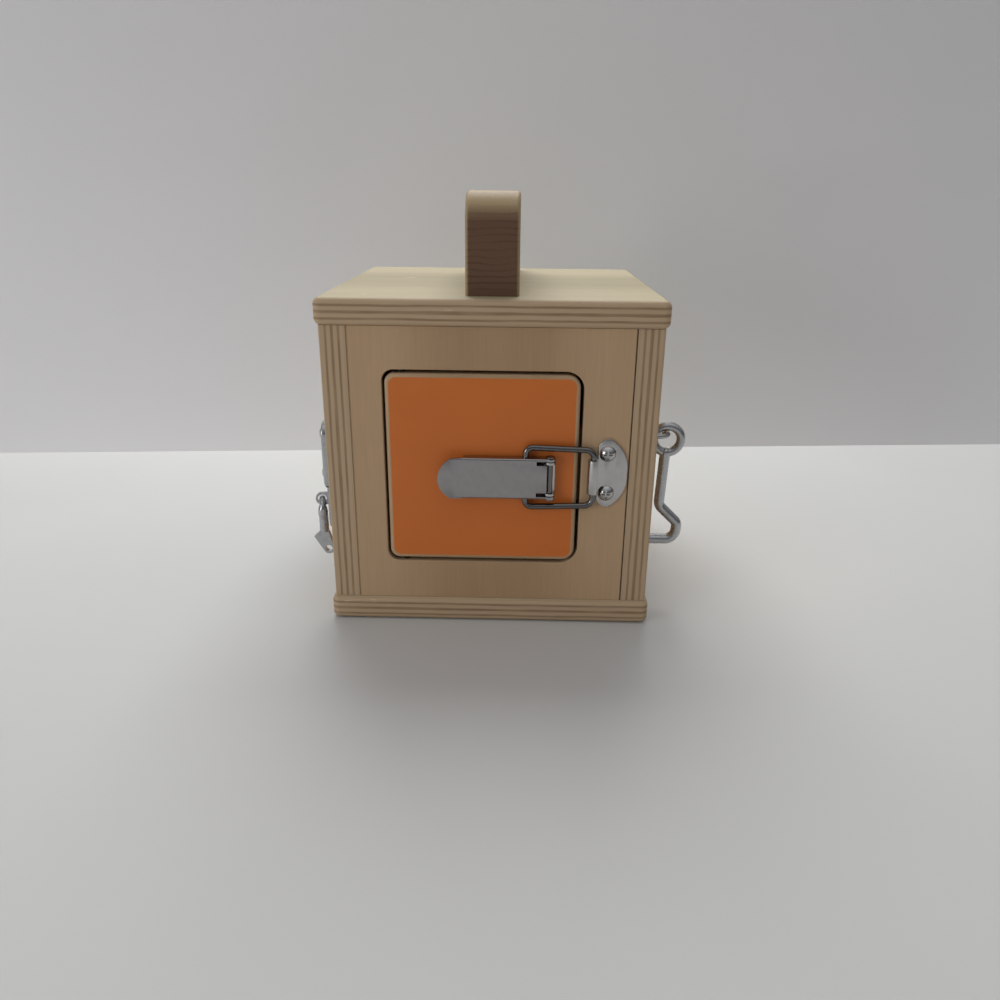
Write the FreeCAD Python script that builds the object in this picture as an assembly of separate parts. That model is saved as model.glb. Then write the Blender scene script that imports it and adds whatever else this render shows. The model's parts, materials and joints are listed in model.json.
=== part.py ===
"""A small wooden latch box: a plywood cube with a carrying handle and four hinged doors.

Each door has another latch.

Millimetres, +Z up. The origin is the centre of the underside, -Y is the front with the toggle latch.
Hardware is drawn on the front wall's plane, where depth is the distance outwards from the wall, and then
turned onto its own wall. On every wall +X is the side of the latch before that turn.
"""

import FreeCAD
import Part
import math
import os

# Plywood box
PLY = 10.0
BOX_WIDTH = 127.0
WALL_HEIGHT = 110.0
LID_OVERHANG = 1.5
LID_CORNER = 3.0
LID_EASE = 2.4
WALL_EASE = 0.8
JOINT_GAP = 0.12

# Dowels that join the walls to the top and the bottom
DOWEL_RADIUS = 2.0
DOWEL_IN_WALL = 7.0
DOWEL_IN_LID = 6.0
DOWEL_FROM_CORNER = 19.5
GLUE_GAP = 0.05

# Door openings and doors
HINGE_STILE = 22.5
LATCH_STILE = 28.6
BOTTOM_RAIL = 16.2
TOP_RAIL = 16.0
OPENING_HINGE_CORNER = 4.5
OPENING_LATCH_CORNER = 7.0
GAP_HINGE = 0.95
GAP_LATCH = 1.35
GAP_TOP = 1.3
GAP_BOTTOM = 1.3
DOOR_HINGE_CORNER = 3.8
DOOR_LATCH_CORNER = 5.0
DOOR_EASE = 1.3
DOOR_BACK_EASE = 0.5
DOOR_PROUD = 0.1
EDGE_EASE = 0.4

# Hidden pivot pins of the doors
PIN_RADIUS = 1.5
PIN_FROM_EDGE = 6.0
PIN_FROM_FACE = 3.5
PIN_IN_DOOR = 10.0
PIN_END_GAP = 0.5
FIXED_GAP = 0.02
RUNNING_GAP = 0.05

# Stop strips behind the doors
STOP_THICKNESS = 4.0
STOP_BEHIND_DOOR = 3.0
STOP_ON_WALL = 6.0
STOP_HEIGHT = 30.0

# Handle
HANDLE_WIDTH = 20.0
HANDLE_INSET = 7.7
HANDLE_HEIGHT = 36.5
HANDLE_LEG = 17.8
HANDLE_GRIP = 14.5
HANDLE_OUTER_ROUND = 12.0
HANDLE_INNER_ROUND = 8.0
HANDLE_EASE = 1.5
HANDLE_SCREW_FROM_WALL = 6.6
HANDLE_SCREW_RADIUS = 2.0
HANDLE_SCREW_IN_LEG = 18.0
HANDLE_SCREW_HEAD = 3.8
HANDLE_SCREW_HEAD_HEIGHT = 2.2
HANDLE_BORE_END = 1.0
WASHER_RADIUS = 5.0
WASHER_THICKNESS = 1.0

# Round-headed wood screws of the latches
SCREW_HEAD = 3.2
SCREW_HEAD_HEIGHT = 2.0
SMALL_HEAD = 2.5
SMALL_HEAD_HEIGHT = 1.4
SCREW_SHANK = 1.1
SCREW_LENGTH = 8.0
SCREW_PLATE_GAP = 0.15
SCREW_POINT = 1.6
SCREW_POINT_RADIUS = 0.2
BORE_END = 0.4
RECESS_WIDTH = 0.7
RECESS_SHARE = 0.55

# Toggle latch of the front door
LATCH_BELOW_MIDDLE = 1.7
LEVER_LENGTH = 42.9
LEVER_WIDTH = 16.2
LEVER_SHEET = 1.0
LEVER_DEPTH = 5.1
LEVER_TIP_ROUND = 5.2
LEVER_TIP_LENGTH = 7.7
LEVER_TIP_LIFT = 1.5
LEVER_FLANGE_FROM_TIP = 9.7
LEVER_FLANGE_DEPTH = 3.0
LEVER_BEND = 0.8
LEVER_NOTCH_LENGTH = 5.2
LEVER_TONGUE_TO_PIN = 1.2
LEVER_PIN_FROM_EDGE = 12.1
LEVER_PIN_DEPTH = 3.3
LEVER_PIN_RADIUS = 1.1
LEVER_PIN_HEAD = 1.6
LEVER_PIN_HEAD_HEIGHT = 0.5
LEVER_EAR = 2.1
BAIL_PIVOT_FROM_PIN = 9.4
BAIL_LENGTH = 26.2
BAIL_DEPTH = 2.4
BAIL_WIRE = 1.2
BAIL_HALF_HEIGHT = 12.1
BAIL_FREE_HALF_HEIGHT = 11.2
BAIL_FREE_BEND = 3.4
BAIL_PIVOT_BEND = 2.8
BAIL_EAR = 1.9
BASE_SHEET = 0.8
BASE_LENGTH = 26.8
BASE_CORNER = 4.0
BASE_HALF_HEIGHT = 6.8
BASE_SCREWS = (3.5, 11.0)
SIDE_GAP = 0.3

# Strike plate of the toggle latch
STRIKE_SHEET = 0.9
STRIKE_FROM_BAIL = 1.6
STRIKE_WIDTH = 11.3
STRIKE_HALF_HEIGHT = 13.8
STRIKE_ABOVE_LATCH = 1.5
STRIKE_SHOULDER = 9.0
LIP_HALF_HEIGHT = 6.8
LIP_ABOVE_LATCH = 0.6
LIP_CLEARANCE = 0.3
LIP_OVER_TOP = 35.0
STRIKE_SCREW_FROM_LIP = 3.6
STRIKE_SCREW_SPREAD = 7.95

# Hook and screw eyes of the right wall
EYE_FROM_EDGE = 21.0
EYE_WIRE = 1.0
EYE_RING = 4.33
EYE_SINK = 2.0
EYE_SHANK_LENGTH = 7.6
HOOK_ABOVE_MIDDLE = 7.5
HOOK_RING = 5.5
HOOK_RING_WIRE = 1.8
HOOK_ROD = 2.15
HOOK_TIP_ROD = 1.8
HOOK_NECK_SHIFT = 0.5
HOOK_KINK_DEPTH = 6.3
HOOK_KINK_DROP = 28.5
HOOK_HUMP_DEPTH = 14.5
HOOK_HUMP_DROP = 36.4
HOOK_HEEL_DEPTH = 14.2
HOOK_HEEL_DROP = 43.9
HOOK_BENDS = (0.0, 4.5, 3.0, 4.6, 0.0)
HOOK_TIP_DEPTH = 1.0
HANG_GAP = 0.3

# Plate and snap clip of the left wall
CLIP_FROM_EDGE = 9.3
CLIP_PLATE_HALF_WIDTH = 7.2
CLIP_PAD_ABOVE_MIDDLE = 17.1
CLIP_PAD_HEIGHT = 27.7
CLIP_PAD_THICKNESS = 2.4
CLIP_TONGUE_LENGTH = 17.0
CLIP_TONGUE_HALF_WIDTH = 5.0
CLIP_TONGUE_THICKNESS = 1.6
CLIP_SCREW_SPREAD = 8.1
CLIP_DEPTH = 5.1
CLIP_TURN = -12.0
CLIP_WIRE = 1.25
CLIP_RING = 3.75
CLIP_HANGS_BELOW_PAD = 5.75
LUG_THICKNESS = 1.2
LUG_HOLE = 1.75
LUG_RADIUS = 2.6
LUG_REST_GAP = 0.3
CLAW_TIP_ANGLE = 60.0
CLIP_LOBE = 1.95
CLIP_LOBE_OFFSET = 3.1
CLIP_LOBE_ABOVE = 3.2
CLIP_LOBE_BELOW = 4.0
CLIP_LOBE_TOP = 0.7
CLIP_LOBE_FOOT = 1.3
CLIP_NECK = 1.9
CLIP_NECK_LENGTH = 6.35
GATE_BOSS = 1.7
GATE_WIRE = 0.95
GATE_END = 158.0
GATE_HUB = 1.5
GATE_PIN = 0.5
GATE_SWING = 22.0
SWIVEL_STEM = 0.85
SWIVEL_HEAD = 1.25
SWIVEL_HEAD_HEIGHT = 0.9
SWIVEL_GAP = 0.06
SWIVEL_CHAMBER = 2.7
SWIVEL_ROOT = 0.5
CLIP_EYE_WIDTH = 8.4
CLIP_EYE_THICKNESS = 2.4
CLIP_EYE_SHOULDER = 2.4
CLIP_EYE_LEAN = 1.6
CLIP_EYE_LENGTH = 10.0
CLIP_EYE_HOLE = 1.45
CLIP_EYE_RIM = 0.85

# Hasp of the left door
HASP_ABOVE_MIDDLE = 3.1
HASP_HEIGHT = 16.0
HASP_SHEET = 1.2
HASP_AXIS_FROM_EDGE = 9.9
HASP_AXIS_DEPTH = 2.4
HASP_KNUCKLE = 2.0
HASP_PIN = 0.9
HASP_FIXED_LENGTH = 22.0
HASP_LEAF_LENGTH = 20.4
HASP_LEAF_DEPTH = 1.4
HASP_END_KNUCKLE = 4.0
HASP_SCREW_RIM = 1.0
HASP_SCREW_STEP = 6.5
TAB_LAP = 1.0
SHEET_CORNER = 0.3
SHEET_EASE = 0.2
KNUCKLE_GAP = 0.15
STAPLE_FROM_EDGE = 3.1
STAPLE_WIRE = 0.9
STAPLE_SPREAD = 3.2
STAPLE_HEIGHT = 7.6
STAPLE_BEND = 2.0
STAPLE_IN_WALL = 6.0
STAPLE_SHEET = 1.0
STAPLE_PLATE_BEFORE = 2.6
STAPLE_PLATE_AFTER = 8.4
STAPLE_PLATE_CORNER = 4.4
STAPLE_PLATE_HALF_HEIGHT = 14.4
STAPLE_SCREW_SPREAD = 11.3
SLOT_BEFORE = 1.4
SLOT_AFTER = 3.0
SLOT_HALF_HEIGHT = 4.9
SLOT_CORNER = 1.2

# Barrel bolt of the back door
BOLT_RADIUS = 2.25
BOLT_LENGTH = 34.5
BOLT_FROM_DOOR_EDGE = 2.05
BOLT_NOSE = 0.6
BOLT_PLATE_LENGTH = 33.0
BOLT_PLATE_FROM_EDGE = 3.05
BOLT_PLATE_CORNER = 2.5
BOLT_HALF_HEIGHT = 9.5
BOLT_SHEET = 1.0
BOLT_OVER_PLATE = 0.3
GUIDE_SHEET = 1.0
GUIDE_WIDTH = 4.5
GUIDES = (4.5, 25.5)
GUIDE_GAP = 0.08
KNOB_FROM_PLATE_END = 12.0
KNOB_STEM = 1.1
KNOB_BALL = 2.6
KNOB_DEPTH = 11.4
KEEPER_FROM_EDGE = 1.4
KEEPER_WIDTH = 8.4
KEEPER_GAP = 0.9
BOLT_SCREW_SPREAD = 6.5

HALF = BOX_WIDTH / 2
WALL_TOP = PLY + WALL_HEIGHT
BOX_TOP = WALL_TOP + PLY
OPENING_LEFT = -HALF + HINGE_STILE
OPENING_RIGHT = HALF - LATCH_STILE
OPENING_BOTTOM = PLY + BOTTOM_RAIL
OPENING_TOP = WALL_TOP - TOP_RAIL
OPENING_MIDDLE = (OPENING_BOTTOM + OPENING_TOP) / 2
DOOR_LEFT = OPENING_LEFT + GAP_HINGE
DOOR_RIGHT = OPENING_RIGHT - GAP_LATCH
DOOR_BOTTOM = OPENING_BOTTOM + GAP_BOTTOM
DOOR_TOP = OPENING_TOP - GAP_TOP
PIVOT_X = DOOR_LEFT + PIN_FROM_EDGE
PIVOT_DEPTH = DOOR_PROUD - PIN_FROM_FACE
HANDLE_LENGTH = BOX_WIDTH - 2 * HANDLE_INSET
LATCH_Z = OPENING_MIDDLE - LATCH_BELOW_MIDDLE
STRIKE_Z = LATCH_Z + STRIKE_ABOVE_LATCH
LIP_LOW = LATCH_Z + LIP_ABOVE_LATCH - LIP_HALF_HEIGHT
LIP_HIGH = LIP_LOW + 2 * LIP_HALF_HEIGHT
LEVER_PIN_X = OPENING_RIGHT - LEVER_PIN_FROM_EDGE
LEVER_TIP_X = LEVER_PIN_X - LEVER_LENGTH
LEVER_CREASE_X = LEVER_TIP_X + LEVER_TIP_LENGTH
BAIL_PIVOT_X = LEVER_PIN_X - BAIL_PIVOT_FROM_PIN
BAIL_END_X = BAIL_PIVOT_X + BAIL_LENGTH
BASE_START_X = LEVER_PIN_X - BASE_LENGTH
STRIKE_LEFT = BAIL_END_X + STRIKE_FROM_BAIL
STRIKE_RIGHT = STRIKE_LEFT + STRIKE_WIDTH
EYE_X = HALF - EYE_FROM_EDGE
HOOK_RING_Z = OPENING_MIDDLE + HOOK_ABOVE_MIDDLE
HOOK_HEEL_Z = HOOK_RING_Z - HOOK_HEEL_DROP
CLIP_X = HALF - CLIP_FROM_EDGE
CLIP_PAD_TOP = OPENING_MIDDLE + CLIP_PAD_ABOVE_MIDDLE
CLIP_PAD_BOTTOM = CLIP_PAD_TOP - CLIP_PAD_HEIGHT
CLIP_TOP_Z = CLIP_PAD_BOTTOM - CLIP_HANGS_BELOW_PAD
CLIP_RING_Z = CLIP_TOP_Z - CLIP_RING
CLIP_NECK_BOTTOM = CLIP_RING_Z - CLIP_RING - CLIP_NECK_LENGTH
SWIVEL_CHAMBER_Z = CLIP_NECK_BOTTOM + SWIVEL_CHAMBER
HASP_Z = OPENING_MIDDLE + HASP_ABOVE_MIDDLE
HASP_AXIS_X = OPENING_RIGHT - HASP_AXIS_FROM_EDGE
STAPLE_X = OPENING_RIGHT + STAPLE_FROM_EDGE
STAPLE_PLATE_START = STAPLE_X - STAPLE_PLATE_BEFORE
STAPLE_PLATE_END = STAPLE_X + STAPLE_PLATE_AFTER
BOLT_Z = OPENING_MIDDLE
BOLT_END = DOOR_RIGHT - BOLT_FROM_DOOR_EDGE
BOLT_PLATE_END = DOOR_RIGHT - BOLT_PLATE_FROM_EDGE
BOLT_PLATE_START = BOLT_PLATE_END - BOLT_PLATE_LENGTH
KNOB_X = BOLT_PLATE_START + KNOB_FROM_PLATE_END
KEEPER_START = OPENING_RIGHT + KEEPER_FROM_EDGE
KEEPER_END = KEEPER_START + KEEPER_WIDTH
UP = FreeCAD.Vector(0, 0, 1)
OUT = FreeCAD.Vector(0, -1, 0)
IN = FreeCAD.Vector(0, 1, 0)
ALONG = FreeCAD.Vector(1, 0, 0)
ORIGIN = FreeCAD.Vector(0, 0, 0)
WALLS = ("front", "right", "back", "left")
QUARTER_TURNS = {"front": 0, "right": 1, "back": 2, "left": -1}


def at(x, depth, z):
    """The point at a depth outwards from the front wall's outer face."""
    return FreeCAD.Vector(x, -HALF - depth, z)


def on_wall(shape, wall):
    """A shape drawn on the front wall, turned onto its own wall. The right wall is drawn mirrored."""
    placed = shape.copy()
    if wall == "right":
        placed = placed.mirror(ORIGIN, ALONG)
    placed.rotate(ORIGIN, UP, 90 * QUARTER_TURNS[wall])
    return placed


def block(x0, x1, depth0, depth1, z0, z1):
    return Part.makeBox(x1 - x0, depth1 - depth0, z1 - z0, at(x0, depth1, z0))


def rod(start, end, radius):
    run = end - start
    return Part.makeCylinder(radius, run.Length, start, run)


def upright(x, depth, z0, z1, radius):
    """A round pin that stands upright."""
    return rod(at(x, depth, z0), at(x, depth, z1), radius)


def inward(x, z, depth0, depth1, radius):
    """A round pin across the wall, between two depths."""
    return rod(at(x, depth0, z), at(x, depth1, z), radius)


def face_of(edges):
    return Part.Face(Part.Wire(edges))


def line(a, b):
    return Part.makeLine(a, b)


def arc(a, middle, b):
    return Part.Arc(a, middle, b).toShape()


def corner_middle(centre, radius, side_x, side_z, depth):
    share = radius * math.sqrt(0.5)
    return at(centre[0] + side_x * share, depth, centre[1] + side_z * share)


def rounded_plate(x0, x1, z0, z1, depth0, depth1, low_corner, high_corner):
    """A plate with round corners: low_corner at the x0 side and high_corner at the x1 side."""
    lo, hi, d = low_corner, high_corner, depth0
    edges = [
        line(at(x0, d, z0 + lo), at(x0, d, z1 - lo)),
        arc(at(x0, d, z1 - lo), corner_middle((x0 + lo, z1 - lo), lo, -1, 1, d), at(x0 + lo, d, z1)),
        line(at(x0 + lo, d, z1), at(x1 - hi, d, z1)),
        arc(at(x1 - hi, d, z1), corner_middle((x1 - hi, z1 - hi), hi, 1, 1, d), at(x1, d, z1 - hi)),
        line(at(x1, d, z1 - hi), at(x1, d, z0 + hi)),
        arc(at(x1, d, z0 + hi), corner_middle((x1 - hi, z0 + hi), hi, 1, -1, d), at(x1 - hi, d, z0)),
        line(at(x1 - hi, d, z0), at(x0 + lo, d, z0)),
        arc(at(x0 + lo, d, z0), corner_middle((x0 + lo, z0 + lo), lo, -1, -1, d), at(x0, d, z0 + lo)),
    ]
    return face_of(edges).extrude(OUT * (depth1 - depth0))


def edges_at_depth(shape, depth):
    """The edges that lie in the plane at this depth from the front wall."""
    y = -HALF - depth
    near = 0.001
    return [e for e in shape.Edges if abs(e.BoundBox.YMin - y) < near and abs(e.BoundBox.YMax - y) < near]


def edges_at_height(shape, z):
    near = 0.001
    return [e for e in shape.Edges if abs(e.BoundBox.ZMin - z) < near and abs(e.BoundBox.ZMax - z) < near]


def upright_edges(shape):
    near = 0.001
    return [
        e
        for e in shape.Edges
        if e.BoundBox.XLength < near and e.BoundBox.YLength < near and e.BoundBox.ZLength > near
    ]


def bent_rod(points, radius, bends, closed=False):
    """A round rod along straight runs joined by bends of the given centre-line radii."""
    count = len(points)
    corners = range(count) if closed else range(1, count - 1)
    starts = list(points)
    ends = list(points)
    pieces = []
    for i in corners:
        before = points[i - 1]
        here = points[i]
        after = points[(i + 1) % count]
        inward = (here - before).normalize()
        outward = (after - here).normalize()
        turn = inward.getAngle(outward)
        axis = inward.cross(outward).normalize()
        back = bends[i] * math.tan(turn / 2)
        ends[i] = here - inward * back
        starts[i] = here + outward * back
        centre = ends[i] + axis.cross(inward) * bends[i]
        disc = Part.Face(Part.Wire(Part.Circle(ends[i], inward, radius).toShape()))
        pieces.append(disc.revolve(centre, axis, math.degrees(turn)))
    runs = count if closed else count - 1
    for i in range(runs):
        pieces.append(rod(starts[i], ends[(i + 1) % count], radius))
    return pieces[0].multiFuse(pieces[1:]).removeSplitter()


def ring_part(centre, normal, start, ring, wire, degrees):
    """Part of a ring: a disc of the wire's radius, turned about the centre from the start direction."""
    seat = centre + start * ring
    tangent = normal.cross(start)
    disc = Part.Face(Part.Wire(Part.Circle(seat, tangent, wire).toShape()))
    return disc.revolve(centre, normal, degrees)


def cross_recess(x, depth, z, head, head_height):
    reach = head * RECESS_SHARE
    half = RECESS_WIDTH / 2
    floor = depth + head_height * (1 - RECESS_SHARE)
    top = depth + head_height
    recess = block(x - reach, x + reach, floor, top, z - half, z + half)
    return recess.fuse(block(x - half, x + half, floor, top, z - reach, z + reach))


def wood_screw(x, depth, z, head, head_height):
    """A round-headed wood screw seated on a plate at the depth: a turned profile with a cross recess."""
    crown = at(x, depth + head_height, z)
    rim = at(x + head, depth, z)
    ball = (head * head + head_height * head_height) / (2 * head_height)
    turn = math.asin(head / ball) / 2
    shoulder = at(x + ball * math.sin(turn), depth + head_height - ball * (1 - math.cos(turn)), z)
    end = depth - SCREW_LENGTH
    point = end - SCREW_POINT
    edges = [
        arc(crown, shoulder, rim),
        line(rim, at(x + SCREW_SHANK, depth, z)),
        line(at(x + SCREW_SHANK, depth, z), at(x + SCREW_SHANK, end, z)),
        line(at(x + SCREW_SHANK, end, z), at(x + SCREW_POINT_RADIUS, point, z)),
        line(at(x + SCREW_POINT_RADIUS, point, z), at(x, point, z)),
        line(at(x, point, z), crown),
    ]
    turned = face_of(edges).revolve(crown, OUT, 360)
    return turned.cut(cross_recess(x, depth, z, head, head_height))


def screw_bore(x, depth, z):
    """The hole that a wood screw cuts in the wood."""
    length = SCREW_LENGTH + SCREW_POINT + BORE_END
    return Part.makeCylinder(SCREW_SHANK + FIXED_GAP, length, at(x, depth, z), IN)


def plate_hole(x, depth, z, sheet):
    return Part.makeCylinder(SCREW_SHANK + SCREW_PLATE_GAP, sheet, at(x, depth, z), IN)


def toggle_screw_places():
    return [(BASE_START_X + step, DOOR_PROUD + BASE_SHEET, LATCH_Z) for step in BASE_SCREWS]


def strike_screw_places():
    x = STRIKE_LEFT + STRIKE_SCREW_FROM_LIP
    return [(x, STRIKE_SHEET, STRIKE_Z + side * STRIKE_SCREW_SPREAD) for side in (-1, 1)]


def clip_screw_places():
    middle = (CLIP_PAD_BOTTOM + CLIP_PAD_TOP) / 2
    return [(CLIP_X, CLIP_PAD_THICKNESS, middle + side * CLIP_SCREW_SPREAD) for side in (-1, 1)]


def staple_screw_places():
    x = (STAPLE_PLATE_START + STAPLE_PLATE_END) / 2
    return [(x, STAPLE_SHEET, HASP_Z + side * STAPLE_SCREW_SPREAD) for side in (-1, 1)]


def hasp_screw_places():
    depth = DOOR_PROUD + HASP_SHEET
    inset = HASP_HEIGHT / 2 - SMALL_HEAD - HASP_SCREW_RIM
    near = HASP_AXIS_X - HASP_FIXED_LENGTH + SMALL_HEAD + HASP_SCREW_RIM
    far = near + HASP_SCREW_STEP
    return [(near, depth, HASP_Z - inset), (near, depth, HASP_Z + inset), (far, depth, HASP_Z)]


def bolt_screw_places():
    depth = DOOR_PROUD + BOLT_SHEET
    middles = [BOLT_PLATE_START + step + GUIDE_WIDTH / 2 for step in GUIDES]
    return [(x, depth, BOLT_Z + side * BOLT_SCREW_SPREAD) for x in middles for side in (-1, 1)]


def keeper_screw_places():
    x = (KEEPER_START + KEEPER_END) / 2
    return [(x, BOLT_SHEET, BOLT_Z + side * BOLT_SCREW_SPREAD) for side in (-1, 1)]


def staple_legs():
    return [HASP_Z - STAPLE_SPREAD, HASP_Z + STAPLE_SPREAD]


FRAME_SCREWS = {
    "front": strike_screw_places(),
    "right": [],
    "back": keeper_screw_places(),
    "left": clip_screw_places() + staple_screw_places(),
}
DOOR_SCREWS = {
    "front": toggle_screw_places(),
    "right": [],
    "back": bolt_screw_places(),
    "left": hasp_screw_places(),
}


def dowel_places():
    """Where the dowels stand, as wall and distance from the wall's middle."""
    reach = HALF - DOWEL_FROM_CORNER
    return [(wall, side * reach) for wall in WALLS for side in (-1, 1)]


def dowels(z_joint, wall_side, extra=0.0):
    """The dowels across the joint at a height. The wall lies below the joint if wall_side is -1."""
    low = DOWEL_IN_WALL if wall_side < 0 else DOWEL_IN_LID
    high = DOWEL_IN_LID if wall_side < 0 else DOWEL_IN_WALL
    pegs = []
    for wall, x in dowel_places():
        base = at(x, -PLY / 2, z_joint - low - extra)
        peg = Part.makeCylinder(DOWEL_RADIUS + extra, low + high + 2 * extra, base)
        pegs.append(on_wall(peg, wall))
    return pegs


def lid(z0):
    """The top or bottom panel, a little larger than the walls, with round corners and edges."""
    side = BOX_WIDTH + 2 * LID_OVERHANG
    corner = FreeCAD.Vector(-side / 2, -side / 2, z0)
    slab = Part.makeBox(side, side, PLY, corner)
    slab = slab.makeFillet(LID_CORNER, upright_edges(slab))
    rims = edges_at_height(slab, z0) + edges_at_height(slab, z0 + PLY)
    return slab.makeFillet(LID_EASE, rims)


def screw_in_handle(y, radius, extra):
    """The shank of a handle screw, from under the washer up into the leg."""
    bottom = WALL_TOP - WASHER_THICKNESS
    length = WASHER_THICKNESS + PLY + HANDLE_SCREW_IN_LEG + extra
    return Part.makeCylinder(radius, length, FreeCAD.Vector(0, y, bottom))


def handle_screw_places():
    reach = HALF - PLY - HANDLE_SCREW_FROM_WALL
    return [-reach, reach]


def bottom_panel():
    return lid(0.0).cut(Part.makeCompound(dowels(PLY, 1, GLUE_GAP)))


def top_panel():
    panel = lid(WALL_TOP).cut(Part.makeCompound(dowels(WALL_TOP, -1, GLUE_GAP)))
    for y in handle_screw_places():
        panel = panel.cut(screw_in_handle(y, HANDLE_SCREW_RADIUS + GLUE_GAP, 0.0))
    return panel


def door_opening(depth0, depth1):
    return rounded_plate(
        OPENING_LEFT,
        OPENING_RIGHT,
        OPENING_BOTTOM,
        OPENING_TOP,
        depth0,
        depth1,
        OPENING_HINGE_CORNER,
        OPENING_LATCH_CORNER,
    )


def pivot_pins(radius, end_gap):
    """The two pins of a door, each through the whole rail of the wall and into the door."""
    low_end = DOOR_BOTTOM + PIN_IN_DOOR + end_gap
    high_end = DOOR_TOP - PIN_IN_DOOR - end_gap
    low = upright(PIVOT_X, PIVOT_DEPTH, PLY, low_end, radius)
    high = upright(PIVOT_X, PIVOT_DEPTH, high_end, WALL_TOP, radius)
    return [low, high]


def wall_panel(wall):
    """A wall with its door opening. The front and back walls stand between the other two."""
    between = wall in ("front", "back")
    half = HALF - PLY - JOINT_GAP if between else HALF
    panel = block(-half, half, -PLY, 0, PLY, WALL_TOP)
    if not between:
        outer = [e for e in upright_edges(panel) if abs(e.BoundBox.YMin + HALF) < 0.001]
        panel = panel.makeFillet(WALL_EASE, outer)
    panel = panel.cut(door_opening(-PLY, 0))
    rim = [e for e in edges_at_depth(panel, 0) if e.BoundBox.XMin > -half + 1 and e.BoundBox.XMax < half - 1]
    rim = [e for e in rim if e.BoundBox.ZMin > PLY + 1 and e.BoundBox.ZMax < WALL_TOP - 1]
    panel = panel.makeFillet(EDGE_EASE, rim)
    cuts = pivot_pins(PIN_RADIUS + FIXED_GAP, 0.0)
    cuts += [screw_bore(x, 0, z) for x, depth, z in FRAME_SCREWS[wall]]
    if wall == "left":
        bore = STAPLE_WIRE + FIXED_GAP
        cuts += [inward(STAPLE_X, z, -STAPLE_IN_WALL, 0, bore) for z in staple_legs()]
    if wall == "right":
        cuts.append(eye_seat(EYE_X, eye_height()))
    panel = on_wall(panel.cut(Part.makeCompound(cuts)), wall)
    pegs = dowels(WALL_TOP, -1, GLUE_GAP) + dowels(PLY, 1, GLUE_GAP)
    return panel.cut(Part.makeCompound(pegs))


def door(wall):
    """A door with eased edges and blind bores for its two pivot pins."""
    leaf = rounded_plate(
        DOOR_LEFT,
        DOOR_RIGHT,
        DOOR_BOTTOM,
        DOOR_TOP,
        DOOR_PROUD - PLY,
        DOOR_PROUD,
        DOOR_HINGE_CORNER,
        DOOR_LATCH_CORNER,
    )
    leaf = leaf.makeFillet(DOOR_EASE, edges_at_depth(leaf, DOOR_PROUD))
    leaf = leaf.makeFillet(DOOR_BACK_EASE, edges_at_depth(leaf, DOOR_PROUD - PLY))
    cuts = pivot_pins(PIN_RADIUS + RUNNING_GAP, PIN_END_GAP)
    cuts += [screw_bore(x, DOOR_PROUD, z) for x, depth, z in DOOR_SCREWS[wall]]
    if wall == "right":
        cuts.append(eye_seat(door_eye_x(), eye_height(), DOOR_PROUD))
    return on_wall(leaf.cut(Part.makeCompound(cuts)), wall)


def door_stop(wall):
    """A strip glued inside beside the opening, which the door's free edge closes against."""
    x0 = OPENING_RIGHT - STOP_BEHIND_DOOR
    x1 = OPENING_RIGHT + STOP_ON_WALL
    z0 = OPENING_MIDDLE - STOP_HEIGHT / 2
    strip = block(x0, x1, -PLY - STOP_THICKNESS, -PLY, z0, z0 + STOP_HEIGHT)
    return on_wall(strip, wall)


def handle():
    """The carrying handle: a grip on two legs that run along Y, with large round top corners."""
    end = HANDLE_LENGTH / 2
    inner = end - HANDLE_LEG
    top = BOX_TOP + HANDLE_HEIGHT
    under = top - HANDLE_GRIP
    big = HANDLE_OUTER_ROUND
    small = HANDLE_INNER_ROUND

    def p(y, z):
        return FreeCAD.Vector(-HANDLE_WIDTH / 2, y, z)

    def bend(y, z, radius, side_y):
        share = radius * math.sqrt(0.5)
        return p(y + side_y * share, z + share)

    edges = [
        line(p(-end, BOX_TOP), p(-end, top - big)),
        arc(p(-end, top - big), bend(-end + big, top - big, big, -1), p(-end + big, top)),
        line(p(-end + big, top), p(end - big, top)),
        arc(p(end - big, top), bend(end - big, top - big, big, 1), p(end, top - big)),
        line(p(end, top - big), p(end, BOX_TOP)),
        line(p(end, BOX_TOP), p(inner, BOX_TOP)),
        line(p(inner, BOX_TOP), p(inner, under - small)),
        arc(
            p(inner, under - small),
            bend(inner - small, under - small, small, 1),
            p(inner - small, under),
        ),
        line(p(inner - small, under), p(-inner + small, under)),
        arc(
            p(-inner + small, under),
            bend(-inner + small, under - small, small, -1),
            p(-inner, under - small),
        ),
        line(p(-inner, under - small), p(-inner, BOX_TOP)),
        line(p(-inner, BOX_TOP), p(-end, BOX_TOP)),
    ]
    body = face_of(edges).extrude(ALONG * HANDLE_WIDTH)
    sides = [e for e in body.Edges if e.BoundBox.XLength < 0.001 and e.BoundBox.ZMax > BOX_TOP + 0.001]
    body = body.makeFillet(HANDLE_EASE, sides)
    for y in handle_screw_places():
        body = body.cut(screw_in_handle(y, HANDLE_SCREW_RADIUS + FIXED_GAP, HANDLE_BORE_END))
    return body


def handle_screws():
    screws = []
    for y in handle_screw_places():
        seat = FreeCAD.Vector(0, y, WALL_TOP - WASHER_THICKNESS - HANDLE_SCREW_HEAD_HEIGHT)
        head = Part.makeCylinder(HANDLE_SCREW_HEAD, HANDLE_SCREW_HEAD_HEIGHT, seat)
        head = head.makeFillet(HANDLE_SCREW_HEAD_HEIGHT * 0.5, edges_at_height(head, seat.z))
        screws.append(head.fuse(screw_in_handle(y, HANDLE_SCREW_RADIUS, 0.0)).removeSplitter())
    return screws


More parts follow.
